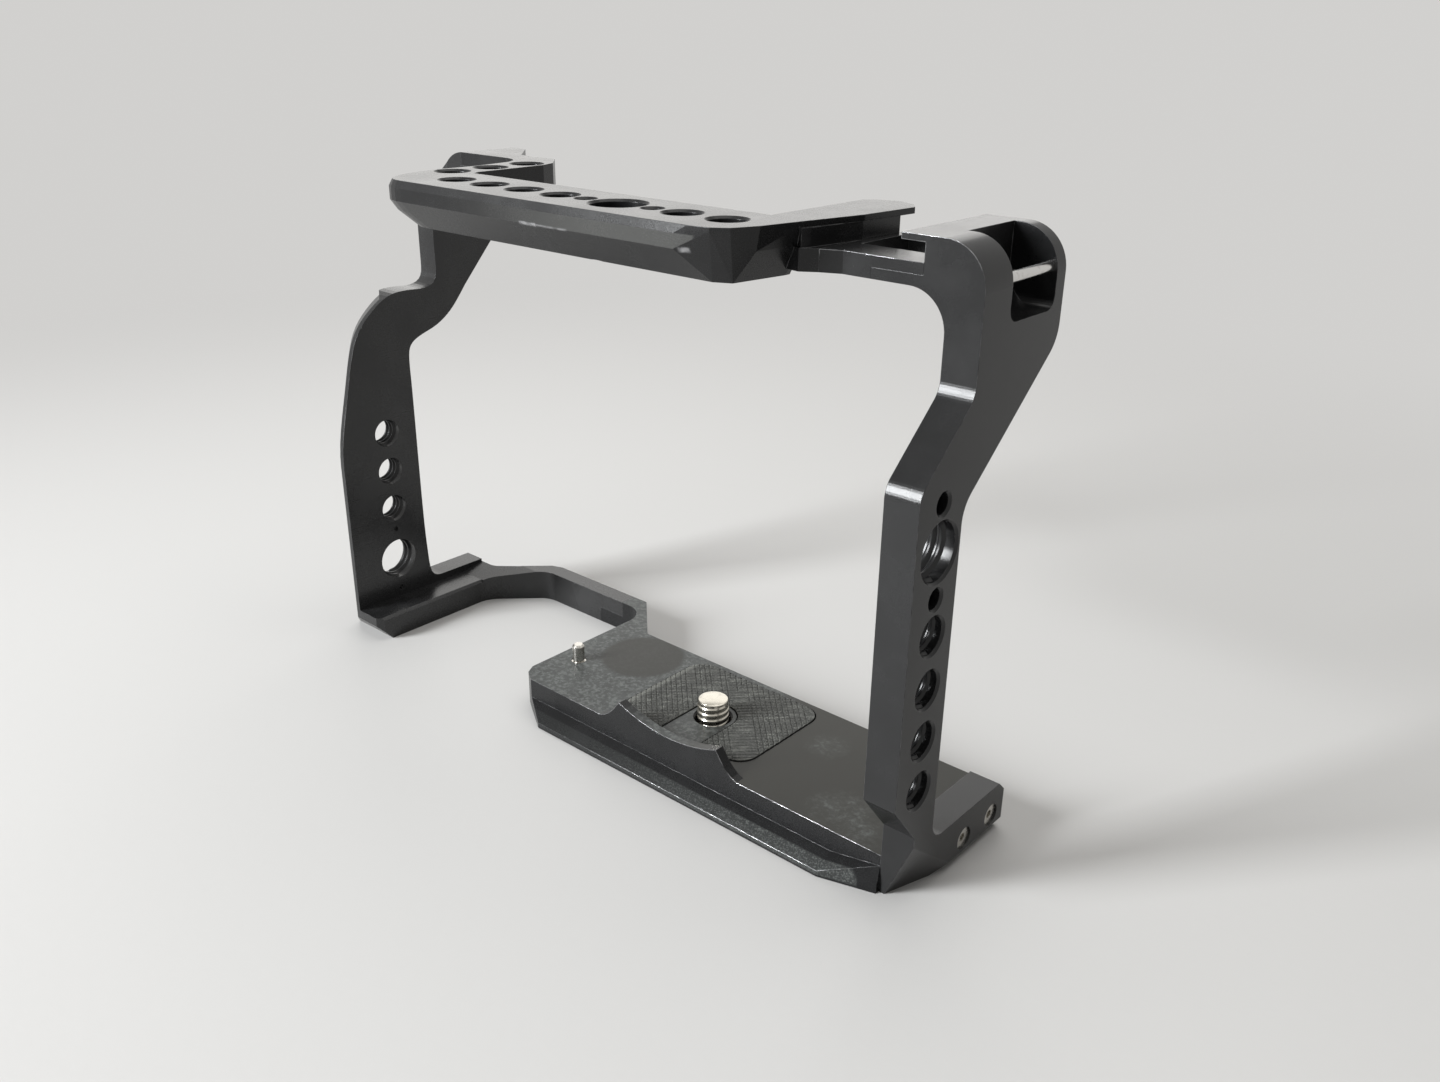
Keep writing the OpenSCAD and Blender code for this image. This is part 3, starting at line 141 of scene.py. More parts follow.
class Maths:
    """A value socket on which arithmetic adds Math nodes."""

    def __init__(self, nodes: "Nodes", socket: Socket) -> None:
        """Wraps a socket.

        Args:
            nodes: the node tree that new nodes go into.
            socket: the output socket that holds the value.
        """
        self.nodes = nodes
        self.socket = socket

    def _maths(self, operation: str, left: Number, right: Number) -> "Maths":
        """Adds one Math node.

        Args:
            operation: the node's operation.
            left: its first value.
            right: its second value.

        Returns:
            The node's result.
        """
        return self.nodes.value("ShaderNodeMath", {"operation": operation}, {0: left, 1: right})

    def __add__(self, other: Number) -> "Maths":
        """Returns the sum."""
        return self._maths("ADD", self, other)

    __radd__ = __add__

    def __sub__(self, other: Number) -> "Maths":
        """Returns the difference."""
        return self._maths("SUBTRACT", self, other)

    def __rsub__(self, other: Number) -> "Maths":
        """Returns the difference with this value last."""
        return self._maths("SUBTRACT", other, self)

    def __mul__(self, other: Number) -> "Maths":
        """Returns the product."""
        return self._maths("MULTIPLY", self, other)

    __rmul__ = __mul__

    def __pow__(self, other: Number) -> "Maths":
        """Returns the power."""
        return self._maths("POWER", self, other)

    def either(self, other: Number) -> "Maths":
        """Returns the larger of two values."""
        return self._maths("MAXIMUM", self, other)

    def clamped(self) -> "Maths":
        """Returns the value held between 0 and 1."""
        return self.nodes.value("ShaderNodeClamp", {}, {0: self})

    def ranged(self, low: float, high: float) -> "Maths":
        """Spreads a value from 0 to 1 over other limits.

        Args:
            low: the result where the value is 0.
            high: the result where the value is 1.

        Returns:
            The value between the limits.
        """
        return self * (high - low) + low

    def sway(self, amount: float) -> "Maths":
        """Makes a value from 0 to 1 swing about 0.

        Args:
            amount: how far apart the ends of the swing are.

        Returns:
            The swing.
        """
        return (self - 0.5) * amount

    def between(self, low: float, high: float) -> "Maths":
        """Rises smoothly from 0 to 1 as the value goes from one limit to another.

        Args:
            low: the value at which the result is 0.
            high: the value at which the result is 1.

        Returns:
            The smooth step.
        """
        inputs = {"Value": self, "From Min": low, "From Max": high}
        return self.nodes.value("ShaderNodeMapRange", {"interpolation_type": "SMOOTHSTEP"}, inputs)


class Nodes:
    """A node tree that is filled node by node."""

    def __init__(self, tree: bpy.types.NodeTree) -> None:
        """Empties a node tree.

        Args:
            tree: the node tree of a material or a world.
        """
        self.tree = tree
        self.tree.nodes.clear()

    def node(self, kind: str, settings: dict, inputs: dict) -> bpy.types.Node:
        """Adds a node.

        Args:
            kind: the node's type.
            settings: its properties, which are set first.
            inputs: values or links of its sockets, by name or number.

        Returns:
            The node.
        """
        made = self.tree.nodes.new(kind)
        for key, setting in settings.items():
            setattr(made, key, setting)
        for key, given in inputs.items():
            self.feed(made.inputs[key], given)
        return made

    def feed(self, socket: Socket, given: object) -> None:
        """Links or sets an input socket.

        Args:
            socket: the input socket.
            given: a wrapped value, an output socket or a plain value.
        """
        source = given.socket if isinstance(given, Maths) else given
        if isinstance(source, Socket):
            self.tree.links.new(source, socket)
        else:
            socket.default_value = source

    def value(self, kind: str, settings: dict, inputs: dict, output: int | str = 0) -> Maths:
        """Adds a node and wraps one of its outputs.

        Args:
            kind: the node's type.
            settings: its properties.
            inputs: values or links of its sockets.
            output: the output to wrap.

        Returns:
            The wrapped output.
        """
        return Maths(self, self.node(kind, settings, inputs).outputs[output])

    def seeing(self) -> Maths:
        """Tells the rays that show the surroundings from those that only light.

        Returns:
            1 for a ray that shows them and 0 for one that lights.
        """
        rays = self.node("ShaderNodeLightPath", {}, {}).outputs
        camera, gloss, through = (
            Maths(self, rays[kind]) for kind in ("Is Camera Ray", "Is Glossy Ray", "Is Transmission Ray"))
        return camera.either(gloss).either(through)


class Graph(Nodes):
    """The node tree of one material."""

    def __init__(self, name: str) -> None:
        """Makes an empty material.

        Args:
            name: the material's name.
        """
        self.material = bpy.data.materials.new(name)
        self.material.use_nodes = True
        super().__init__(self.material.node_tree)
        self.place = self.node("ShaderNodeTexCoord", {}, {}).outputs["Object"]

    def noise(self, mottle: Mottle) -> Maths:
        """Adds a noise.

        Args:
            mottle: its sizes and limits.

        Returns:
            The noise, from 0 to 1.
        """
        turn = (0.0, 0.0, math.radians(mottle.turn))
        inputs = {"Vector": self.place, "Rotation": turn, "Scale": mottle.stretch}
        mapped = self.node("ShaderNodeMapping", {"vector_type": "TEXTURE"}, inputs).outputs[0]
        inputs = {"Vector": mapped, "Scale": mottle.per_mm / MM, "Detail": mottle.detail,
                  "Roughness": NOISE_ROUGHNESS}
        made = self.value("ShaderNodeTexNoise", {}, inputs, "Fac")
        return made.between(*mottle.cut) if mottle.cut else made

    def along(self, axis: str) -> Maths:
        """Gives the place along one axis.

        Args:
            axis: X, Y or Z.

        Returns:
            The place in millimetres.
        """
        return self.value("ShaderNodeSeparateXYZ", {}, {0: self.place}, axis) * (1 / MM)

    def facing(self, axis: str) -> Maths:
        """Gives one part of the flat surface's normal.

        Args:
            axis: X, Y or Z.

        Returns:
            The part, from -1 to 1.
        """
        normal = self.node("ShaderNodeNewGeometry", {}, {}).outputs["True Normal"]
        return self.value("ShaderNodeSeparateXYZ", {}, {0: normal}, axis)

    def away(self, centre: Pair) -> Maths:
        """Gives the distance from an upright axis.

        Args:
            centre: the axis's X and Y in millimetres.

        Returns:
            The distance in millimetres.
        """
        across = self.along("X") - centre[0]
        ahead = self.along("Y") - centre[1]
        return (across * across + ahead * ahead) ** 0.5

    def near(self, patch: Patch) -> Maths:
        """Masks a round patch seen from above.

        Args:
            patch: the patch and its soft rim.

        Returns:
            1 inside the patch and 0 outside.
        """
        return 1 - self.away(patch.centre).between(patch.radius - patch.soft, patch.radius + patch.soft)

    def inside(self, box: Box) -> Maths:
        """Masks what lies in a box.

        Args:
            box: the box and its soft rim.

        Returns:
            1 inside the box and 0 outside.
        """
        parts: list[Maths] = []
        for axis, low, high in zip("XYZ", box.low, box.high):
            place = self.along(axis)
            rise = box.run if axis == "X" and box.run else box.soft
            entered = place.between(low - rise, low + rise)
            parts.append(entered * (1 - place.between(high - box.soft, high + box.soft)))
        return parts[0] * parts[1] * parts[2]

    def edges(self, width: float, turn: Limits) -> Maths:
        """Masks the sharp edges.

        Args:
            width: how far from an edge the mask reaches, in millimetres.
            turn: turns of the normal at which the mask begins and is full.

        Returns:
            1 on the edges and 0 on the faces.
        """
        rounded = self.rounded(width)
        flat = self.node("ShaderNodeNewGeometry", {}, {}).outputs["Normal"]
        alike = self.value("ShaderNodeVectorMath", {"operation": "DOT_PRODUCT"}, {0: rounded, 1: flat}, "Value")
        return (1 - alike).between(*turn)

    def rounded(self, radius: float) -> Socket:
        """Gives the normal as if the sharp edges were rounded.

        Args:
            radius: the radius of the edges, in millimetres.

        Returns:
            The normal.
        """
        return self.node("ShaderNodeBevel", {"samples": BEVEL_SAMPLES}, {"Radius": radius * MM}).outputs[0]

    def blend(self, mask: Number, first: object, second: object) -> Socket:
        """Mixes two colours.

        Args:
            mask: 0 for the first and 1 for the second.
            first: a colour or a colour socket.
            second: a colour or a colour socket.

        Returns:
            The mixed colour.
        """
        made = self.node("ShaderNodeMix", {"data_type": "RGBA"}, {"Factor": mask})
        for key, given in (("A", first), ("B", second)):
            socket = next(s for s in made.inputs if s.name == key and s.type == "RGBA")
            self.feed(socket, given if isinstance(given, Socket) else (*given, 1.0))
        return next(s for s in made.outputs if s.type == "RGBA")

    def bump(self, height: Maths, depth: float, rounded: float = 0.0) -> Socket:
        """Turns a height into a normal.

        Args:
            height: the height, from 0 to 1.
            depth: the height's full range in millimetres.
            rounded: radius that softens the sharp edges, in millimetres.

        Returns:
            The normal.
        """
        inputs = {"Height": height, "Distance": depth * MM, "Strength": 1.0}
        if rounded:
            inputs["Normal"] = self.rounded(rounded)
        return self.node("ShaderNodeBump", {}, inputs).outputs[0]

    def finish(self, inputs: dict) -> Material:
        """Adds the shader and the output.

        Args:
            inputs: values or links of the shader's sockets.

        Returns:
            The finished material.
        """
        shader = self.node("ShaderNodeBsdfPrincipled", {}, inputs)
        self.node("ShaderNodeOutputMaterial", {}, {"Surface": shader.outputs[0]})
        return self.material


# ---- finishes


@dataclass(frozen=True)
class Anodised:
    """Bead blasted, black anodised aluminium with bare metal along its edges, partly from wearing and partly
    painted as edge highlights, with painted glints and a painted sheen on some front faces.

    Attributes:
        name: the material's name.
        tone: the fresh anodising.
        faded: the faded anodising.
        bare: the metal under it.
        front_sheen: a lighter tone painted on the front faces in the sheen boxes, a painted sheen for the light
            they reflect.
        edge: width of the bare edges, in millimetres.
        highlit_edge: their width where wider bright edge lines are painted.
        edge_wear_and_highlight: how bare the edges are; this bare metal is partly wearing and partly a painted
            highlight along them.
        highlit_edges: where wider bare metal is painted along the edges as bright edge highlights.
        covered_edges: where the edges get no bare metal.
        painted_glints: where glints are painted on the faces as bare metal.
        front_sheen_boxes: where the faces to the front get that painted sheen.
        fading: how far the cloud and the grain fade the anodising.
        unevenness: how far the cloud and the grain swing the roughness.
        polish: how far the rubs and the bare metal lower it.
    """

    name: str
    tone: Colour = (0.008, 0.0081, 0.0085)
    faded: Colour = (0.017, 0.0173, 0.0178)
    bare: Colour = (0.5, 0.5, 0.51)
    front_sheen: Colour = (0.057, 0.0575, 0.055)
    roughness: float = 0.27
    specular: float = 0.34
    edge: float = 0.13
    highlit_edge: float = 0.24
    edge_wear_and_highlight: float = 0.3
    highlit_edges: tuple[Box, ...] = ()
    covered_edges: tuple[Box, ...] = ()
    painted_glints: tuple[Box, ...] = ()
    front_sheen_boxes: tuple[Box, ...] = ()
    grain: Mottle = Mottle(5.5)
    cloud: Mottle = Mottle(0.1, 4.0)
    rubs: Mottle = Mottle(0.35, 3.0, (0.62, 0.8), (1.0, 4.0, 0.33))
    breaks: Mottle = Mottle(0.5, 4.0, (0.36, 0.62))
    cloud_cut: Limits = (0.3, 0.75)
    fading: Pair = (0.55, 0.25)
    unevenness: Pair = (0.12, 0.08)
    polish: Pair = (0.05, 0.08)
    edge_turn: Limits = (0.02, 0.16)
    highlit_turn: Limits = (0.01, 0.09)
    highlit_share: Limits = (0.3, 0.8)
    glint_share: Limits = (0.2, 1.0)
    to_front: Limits = (0.9, 0.97)
    grain_depth: float = 0.01
    softened: float = 0.14

    def wear_and_painted_light(self, graph: Graph) -> Maths:
        """Masks the bare metal: along the edges, partly wearing and partly painted highlight, plus wider
        painted highlights and painted glints.

        Args:
            graph: the material's graph.

        Returns:
            1 where the metal is bare.
        """
        broken = graph.noise(self.breaks)
        # Bare metal on every sharp edge: partly wearing, partly a painted highlight for the light on the edges.
        bare = graph.edges(self.edge, self.edge_turn) * broken * self.edge_wear_and_highlight
        for box in self.covered_edges:
            bare = bare * (1 - graph.inside(box))
        # Painted highlights: wider bare metal along the edges in these boxes, for bright edge lines.
        if self.highlit_edges:
            wide = graph.edges(self.highlit_edge, self.highlit_turn) * broken.ranged(*self.highlit_share)
            for box in self.highlit_edges:
                bare = bare.either(wide * graph.inside(box) * box.strength)
        # Painted glints: bare metal spots where light glints on the faces.
        for box in self.painted_glints:
            bare = bare.either(graph.inside(box) * broken.ranged(*self.glint_share) * box.strength)
        return bare.clamped()

    def coat(self, graph: Graph, colour: Socket, rough: Maths) -> tuple[Socket, Maths]:
        """Paints a lighter sheen on the front faces in the sheen boxes, for the light they reflect.

        Args:
            graph: the material's graph.
            colour: the anodising's colour.
            rough: its roughness.

        Returns:
            The coated colour and roughness.
        """
        # Painted sheen: front faces in these boxes are painted lighter.
        for box in self.front_sheen_boxes:
            front = (0 - graph.facing("Y")).between(*self.to_front)
            colour = graph.blend(graph.inside(box) * front * box.strength, colour, self.front_sheen)
        return colour, rough

    def material(self) -> Material:
        """Returns the finish as a material."""
        graph = Graph(self.name)
        grain, cloud, rubs = map(graph.noise, (self.grain, self.cloud, self.rubs))
        faded = cloud.between(*self.cloud_cut) * self.fading[0] + grain * self.fading[1]
        uneven = cloud.sway(self.unevenness[0]) + grain.sway(self.unevenness[1])
        colour, rough = self.coat(
            graph, graph.blend(faded, self.tone, self.faded), self.roughness + uneven - rubs * self.polish[0])
        wear_and_painted_light = self.wear_and_painted_light(graph)
        return graph.finish({
            "Base Color": graph.blend(wear_and_painted_light, colour, self.bare),
            "Roughness": rough - wear_and_painted_light * self.polish[1],
            "Metallic": wear_and_painted_light,
            "Specular IOR Level": self.specular,
            "Normal": graph.bump(grain, self.grain_depth, self.softened),
        })


@dataclass(frozen=True)
class DustAndLightAnodised(Anodised):
    """The same anodising with dusting on its upward faces, and painted light: a lighter sheen on the clean
    upward faces and a pale coat on the clamping slope for the light the slope catches from above.

    Attributes:
        top_sheen: a lighter, yellowish tone painted on the upward faces where no dusting lies, a painted sheen
            for the light they catch.
        dust_end: places along X between which the dusting ends.
        clean: patch that is wiped clean.
        rubbed: patches with dusting past where the dusting ends.
        slope: the clamping slope, painted pale in the dusting tone for the light it catches from above.
        slope_run: places along X between which that painted light grows paler.
        dull: how far the upward faces, the dusting and the painted slope light raise the roughness.
    """

    dust_and_slope_tone: Colour = (0.155, 0.165, 0.158)
    top_sheen: Colour = (0.0245, 0.024, 0.0185)
    top_sheen_share: float = 0.8
    dust_end: Limits = (22.0, 34.0)
    clean: Patch = Patch((-5.6, 7.2), 9.0, 0.8)
    clean_share: float = 0.9
    rubbed: tuple[Patch, ...] = (
        Patch((45.5, 5.4), 3.0, 2.5),
        Patch((59.5, -9.7), 4.5, 3.0),
        Patch((66.0, -13.0), 3.5, 3.0),
    )
    slope: Box = Box((-40.0, -30.0, 0.4), (69.0, -17.5, 5.4), 0.2)
    slope_run: Limits = (-10.0, 55.0)
    upward: Limits = (0.93, 0.99)
    specks: Mottle = Mottle(1.3, 5.0, (0.43, 0.66))
    drifts: Mottle = Mottle(0.14, 3.0, (0.32, 0.62))
    blotch: Mottle = Mottle(0.35, 4.0, (0.38, 0.66))
    fine: Mottle = Mottle(3.2, 3.0, (0.46, 0.68))
    speck_share: Limits = (0.22, 0.77)
    drift_share: float = 0.12
    blotch_share: Limits = (0.3, 1.0)
    rubbed_dust: Limits = (0.16, 0.58)
    slope_light_base: Limits = (0.05, 0.09)
    slope_light_gain: Limits = (0.1, 0.6)
    dull: Pair = (0.1, 0.2)

    def coat(self, graph: Graph, colour: Socket, rough: Maths) -> tuple[Socket, Maths]:
        """Lays the dusting over the anodising, and paints light: a lighter sheen on clean upward faces and a
        pale coat on the clamping slope.

        Args:
            graph: the material's graph.
            colour: the anodising's colour.
            rough: its roughness.

        Returns:
            The dusted and painted colour, and the roughness.
        """
        up = graph.facing("Z").between(*self.upward)
        specks, drifts, blotch, fine = map(graph.noise, (self.specks, self.drifts, self.blotch, self.fine))
        left = 1 - graph.along("X").between(*self.dust_end)
        lain = left * (1 - graph.near(self.clean) * self.clean_share)
        dust_and_slope_light = lain * (specks.ranged(*self.speck_share) + drifts * self.drift_share)
        smudge = blotch.ranged(*self.blotch_share) * specks.ranged(*self.rubbed_dust)
        for patch in self.rubbed:
            dust_and_slope_light = dust_and_slope_light + graph.near(patch) * smudge
        # Painted light: the clamping slope is painted pale in the dusting tone, paler along X, for the light it
        # catches from above.
        slope_light_rise = graph.along("X").between(*self.slope_run) * fine.ranged(*self.slope_light_gain)
        slope_light = graph.inside(self.slope) * (fine.ranged(*self.slope_light_base) + slope_light_rise)
        dust_and_slope_light = (dust_and_slope_light * up + slope_light).clamped()
        # Painted sheen: upward faces without dusting are painted lighter for the light they catch.
        colour = graph.blend(up * (1 - lain) * self.top_sheen_share, colour, self.top_sheen)
        return graph.blend(dust_and_slope_light, colour, self.dust_and_slope_tone), rough + up * self.dull[0] + dust_and_slope_light * self.dull[1]


@dataclass(frozen=True)
class HatchedRubber:
    """Dark pad rubber, scuffed pale on its crests and along its left rim, with painted shade in its grooves,
    which get no scuff.

    Attributes:
        rim: millimetres from the left edge between which the rim's scuff ends.
        crest: millimetres below the top between which the scuff ends, so that the grooves stay dark as painted
            shade.
    """

    name: str
    tone: Colour = (0.034, 0.035, 0.032)
    scuffed: Colour = (0.26, 0.265, 0.24)
    grain: Mottle = Mottle(2.4, 4.0)
    cloud: Mottle = Mottle(0.22, 4.0, (0.35, 0.7))
    streak: Mottle = Mottle(1.0, 3.0, (0.5, 0.7), (3.5, 0.8, 1.0), 45.0)
    grain_cut: Limits = (0.44, 0.66)
    rim: Limits = (0.3, 1.6)
    crest: Limits = (0.3, 0.02)
    cloud_share: Limits = (0.2, 0.54)
    streak_share: float = 0.34
    rim_share: float = 0.45
    roughness: Limits = (0.62, 0.78)
    grain_depth: float = 0.03

    def material(self, low: Vector, high: Vector) -> Material:
        """Makes the finish.

        Args:
            low: the pad's lowest corner in millimetres.
            high: its highest corner in millimetres.

        Returns:
            Its material.
        """
        graph = Graph(self.name)
        grain, cloud, streak = map(graph.noise, (self.grain, self.cloud, self.streak))
        rim = 1 - graph.along("X").between(*(low.x + reach for reach in self.rim))
        # Painted shade: the scuff is kept to the crests, so the grooves stay dark.
        crest = graph.along("Z").between(*(high.z - drop for drop in self.crest))
        scuff = grain.between(*self.grain_cut) * cloud.ranged(*self.cloud_share)
        wear_and_painted_light = (crest * (scuff + streak * self.streak_share + rim * self.rim_share)).clamped()
        return graph.finish({
            "Base Color": graph.blend(wear_and_painted_light, self.tone, self.scuffed),
            "Roughness": cloud.ranged(*self.roughness),
            "Normal": graph.bump(grain, self.grain_depth),
        })


@dataclass(frozen=True)
class TurnedSteel:
    """Steel with fine turning marks: `marks` is how far they stretch along each axis."""

    name: str
    tone: Colour = (0.62, 0.6, 0.56)
    stained: Colour = (0.34, 0.32, 0.29)
    roughness: float = 0.26
    marks: Point = (5.0, 5.0, 0.25)
    marks_per_mm: float = 4.0
    stain: Mottle = Mottle(0.6, 4.0, (0.52, 0.74))
    stain_share: float = 0.5
    unevenness: Pair = (0.2, 0.12)
    mark_depth: float = 0.006
    softened: float = 0.06

    def material(self) -> Material:
        """Returns the finish as a material."""
        graph = Graph(self.name)
        rings = graph.noise(Mottle(self.marks_per_mm, stretch=self.marks))
        stain = graph.noise(self.stain)
        return graph.finish({
            "Base Color": graph.blend(stain * self.stain_share, self.tone, self.stained),
            "Metallic": 1.0,
            "Roughness": self.roughness + rings.sway(self.unevenness[0]) + stain * self.unevenness[1],
            "Normal": graph.bump(rings, self.mark_depth, self.softened),
        })


@dataclass(frozen=True)
class Moulded:
    """Smooth hard plastic with a faint flow grain."""

    name: str
    tone: Colour
    roughness: float
    flow: Mottle = Mottle(1.2, 3.0)
    grain: Mottle = Mottle(3.0)
    darker: float = 0.8
    unevenness: float = 0.14
    grain_depth: float = 0.01

    def material(self) -> Material:
        """Returns the finish as a material."""
        graph = Graph(self.name)
        flow = graph.noise(self.flow)
        dark: Colour = tuple(channel * self.darker for channel in self.tone)
        return graph.finish({
            "Base Color": graph.blend(flow, dark, self.tone),
            "Roughness": self.roughness + flow.sway(self.unevenness),
            "Normal": graph.bump(graph.noise(self.grain), self.grain_depth),
        })


# ---- bench methods


class Bench:
    """Modelling steps that the pieces share."""

    @staticmethod
    def clear() -> None:
        """Leaves nothing selected."""
        if bpy.context.object and bpy.context.object.mode != "OBJECT":
            bpy.ops.object.mode_set(mode="OBJECT")
        bpy.ops.object.select_all(action="DESELECT")

    @staticmethod
    def pick(pieces: Iterable[Piece]) -> None:
        """Selects pieces and makes the first of them active.

        Args:
            pieces: the pieces to select.
        """
        Bench.clear()
        chosen = list(pieces)
        for piece in chosen:
            piece.select_set(True)
        bpy.context.view_layer.objects.active = chosen[0]

    @staticmethod
    def named(name: str) -> Piece:
        """Names the active piece.

        Args:
            name: its name.

        Returns:
            The piece.
        """
        piece = bpy.context.object
        piece.name = name
        piece.data.name = name
        return piece

    @staticmethod
    def settle(name: str) -> Piece:
        """Names the active piece and moves its place into its mesh.

        Args:
            name: its name.

        Returns:
            The piece.
        """
        bpy.ops.object.transform_apply(location=True, rotation=True, scale=True)
        return Bench.named(name)

    @staticmethod
    def copy(name: str, source: Piece, turn: Matrix) -> Piece:
        """Copies a piece with a mesh of its own.

        Args:
            name: the copy's name.
            source: the piece to copy.
            turn: the matrix that the copy's mesh is moved by.

        Returns:
            The copy.
        """
        made = bpy.data.objects.new(name, source.data.copy())
        bpy.context.scene.collection.objects.link(made)
        made.data.transform(turn)
        return made

    @staticmethod
    def join(pieces: list[Piece], name: str) -> Piece:
        """Joins pieces into one.

        Args:
            pieces: the pieces.
            name: the joined piece's name.

        Returns:
            The joined piece.
        """
        Bench.pick(pieces)
        if len(pieces) > 1:
            bpy.ops.object.join()
        return Bench.named(name)

    @staticmethod
    def select(piece: Piece, test: Callable[[Vector], bool], kind: str = "VERT") -> None:
        """Selects vertices or faces by their place, in edit mode afterwards.

        Args:
            piece: the piece, which becomes active.
            test: tells from a point whether it is selected.
            kind: VERT or FACE.
        """
        Bench.pick([piece])
        bpy.ops.object.mode_set(mode="EDIT")
        bpy.ops.mesh.select_mode(type=kind)
        bpy.ops.mesh.select_all(action="DESELECT")
        bpy.ops.object.mode_set(mode="OBJECT")
        for part in piece.data.vertices if kind == "VERT" else piece.data.polygons:
            part.select = test(part.co if kind == "VERT" else part.center)
        bpy.ops.object.mode_set(mode="EDIT")

    @staticmethod
    def select_rims() -> None:
        """Selects the open edges of the piece that is in edit mode."""
        bpy.ops.mesh.select_mode(type="EDGE")
        bpy.ops.mesh.select_all(action="DESELECT")
        bpy.ops.mesh.select_non_manifold(extend=False)

    @staticmethod
    def outward(piece: Piece) -> None:
        """Merges doubles and turns every face outwards.

        Args:
            piece: the piece.
        """
        Bench.pick([piece])
        bpy.ops.object.mode_set(mode="EDIT")
        bpy.ops.mesh.select_all(action="SELECT")
        bpy.ops.mesh.remove_doubles(threshold=SAME_POINT * MM)
        bpy.ops.mesh.normals_make_consistent(inside=False)
        bpy.ops.object.mode_set(mode="OBJECT")

    @staticmethod
    def apply(piece: Piece, kind: str, settings: dict) -> None:
        """Adds a modifier and applies it.

        Args:
            piece: the piece.
            kind: the modifier's type.
            settings: its properties.
        """
        Bench.pick([piece])
        bpy.ops.object.modifier_add(type=kind)
        modifier = piece.modifiers[-1]
        for key, setting in settings.items():
            setattr(modifier, key, setting)
        bpy.ops.object.modifier_apply(modifier=modifier.name)

    @staticmethod
    def dress(piece: Piece, material: Material) -> None:
        """Gives a piece or a node one material.

        Args:
            piece: the piece.
            material: its material.
        """
        if not piece.data.materials:
            piece.data.materials.append(material)
        for index in range(len(piece.data.materials)):
            piece.data.materials[index] = material
        LOG.info("%s: %s on %d faces", piece.name, material.name, len(piece.data.polygons))


# ---- pieces


@dataclass(frozen=True)
class Thread:
    """Ridge of a screw thread, as a coil round the Z axis, in millimetres.

    Attributes:
        major_r: radius at the thread's outer diameter.
        pitch: rise of one turn.
        inward: whether the ridge stands inwards, as in a hole.
        depth: the ridge's height.
        buried: how far its foot is sunk.
        foot: the foot's width in pitches.
        crest: the crest's width in feet.
        steps: faces round one turn.
    """

    major_r: float
    pitch: float
    inward: bool = True
    depth: float = 0.42
    buried: float = 0.06
    foot: float = 0.92
    crest: float = 0.22
    steps: int = 40

    def coil(self, turns: int, name: str) -> Piece:
        """Makes the ridge, centred on the origin.

        Args:
            turns: its whole turns.
            name: the piece's name.

        Returns:
            The closed coil.
        """
        root = self.major_r + (self.buried if self.inward else -self.depth - self.buried)
        tip = self.major_r - (self.depth if self.inward else 0.0)
        middle = (root + tip) / 2 * MM
        place = (middle, 0.0, -turns * self.pitch / 2 * MM)
        Bench.clear()
        bpy.ops.mesh.primitive_plane_add(size=1.0, location=place, rotation=(math.pi / 2, 0.0, 0.0))
        piece = Bench.settle(name)
        bpy.ops.object.mode_set(mode="EDIT")
        bpy.ops.mesh.select_all(action="SELECT")
        size = (abs(root - tip) * MM, 1.0, self.pitch * self.foot * MM)
        bpy.ops.transform.resize(value=size, center_override=place)
        bpy.ops.mesh.delete(type="ONLY_FACE")
        side = 1.0 if self.inward else -1.0
        Bench.select(piece, lambda co: (co.x - middle) * side < 0)
        bpy.ops.transform.resize(value=(1.0, 1.0, self.crest), center_override=place)
        bpy.ops.object.mode_set(mode="OBJECT")
        Bench.apply(piece, "SCREW", {
            "axis": "Z", "screw_offset": self.pitch * MM, "iterations": turns,
            "steps": self.steps, "render_steps": self.steps, "use_smooth_shade": False,
        })
        Bench.pick([piece])
        bpy.ops.object.mode_set(mode="EDIT")
        Bench.select_rims()
        bpy.ops.mesh.fill_holes(sides=4)
        bpy.ops.object.mode_set(mode="OBJECT")
        Bench.outward(piece)
        bpy.ops.object.shade_smooth_by_angle(angle=SMOOTH_TURN)
        return piece


QUARTER = Thread(QUARTER_R, QUARTER_PITCH)
THREE_EIGHTH = Thread(THREE_EIGHTH_R, THREE_EIGHTH_PITCH, depth=0.5)


@dataclass(frozen=True)
class HoleRow:
    """Threaded holes of one plate: their middles in millimetres and how many turns they take."""

    name: str
    slot: str
    axis: Axis
    quarter: list[Point]
    three_eighth: list[Point]
    quarter_turns: int
    three_eighth_turns: int

    def build(self) -> Piece:
        """Makes the thread ridges of every hole.

        Returns:
            One piece with all the ridges.
        """
        made: list[Piece] = []
        for thread, places, turns in (
            (QUARTER, self.quarter, self.quarter_turns),
            (THREE_EIGHTH, self.three_eighth, self.three_eighth_turns),
        ):
            if not places:
                continue
            coil = thread.coil(turns, self.name)
            for place in places:
                move = Matrix.Translation(Vector(place) * MM)
                made.append(Bench.copy(coil.name, coil, move @ self.axis.turned()))
            bpy.data.objects.remove(coil)
        return Bench.join(made, self.name)


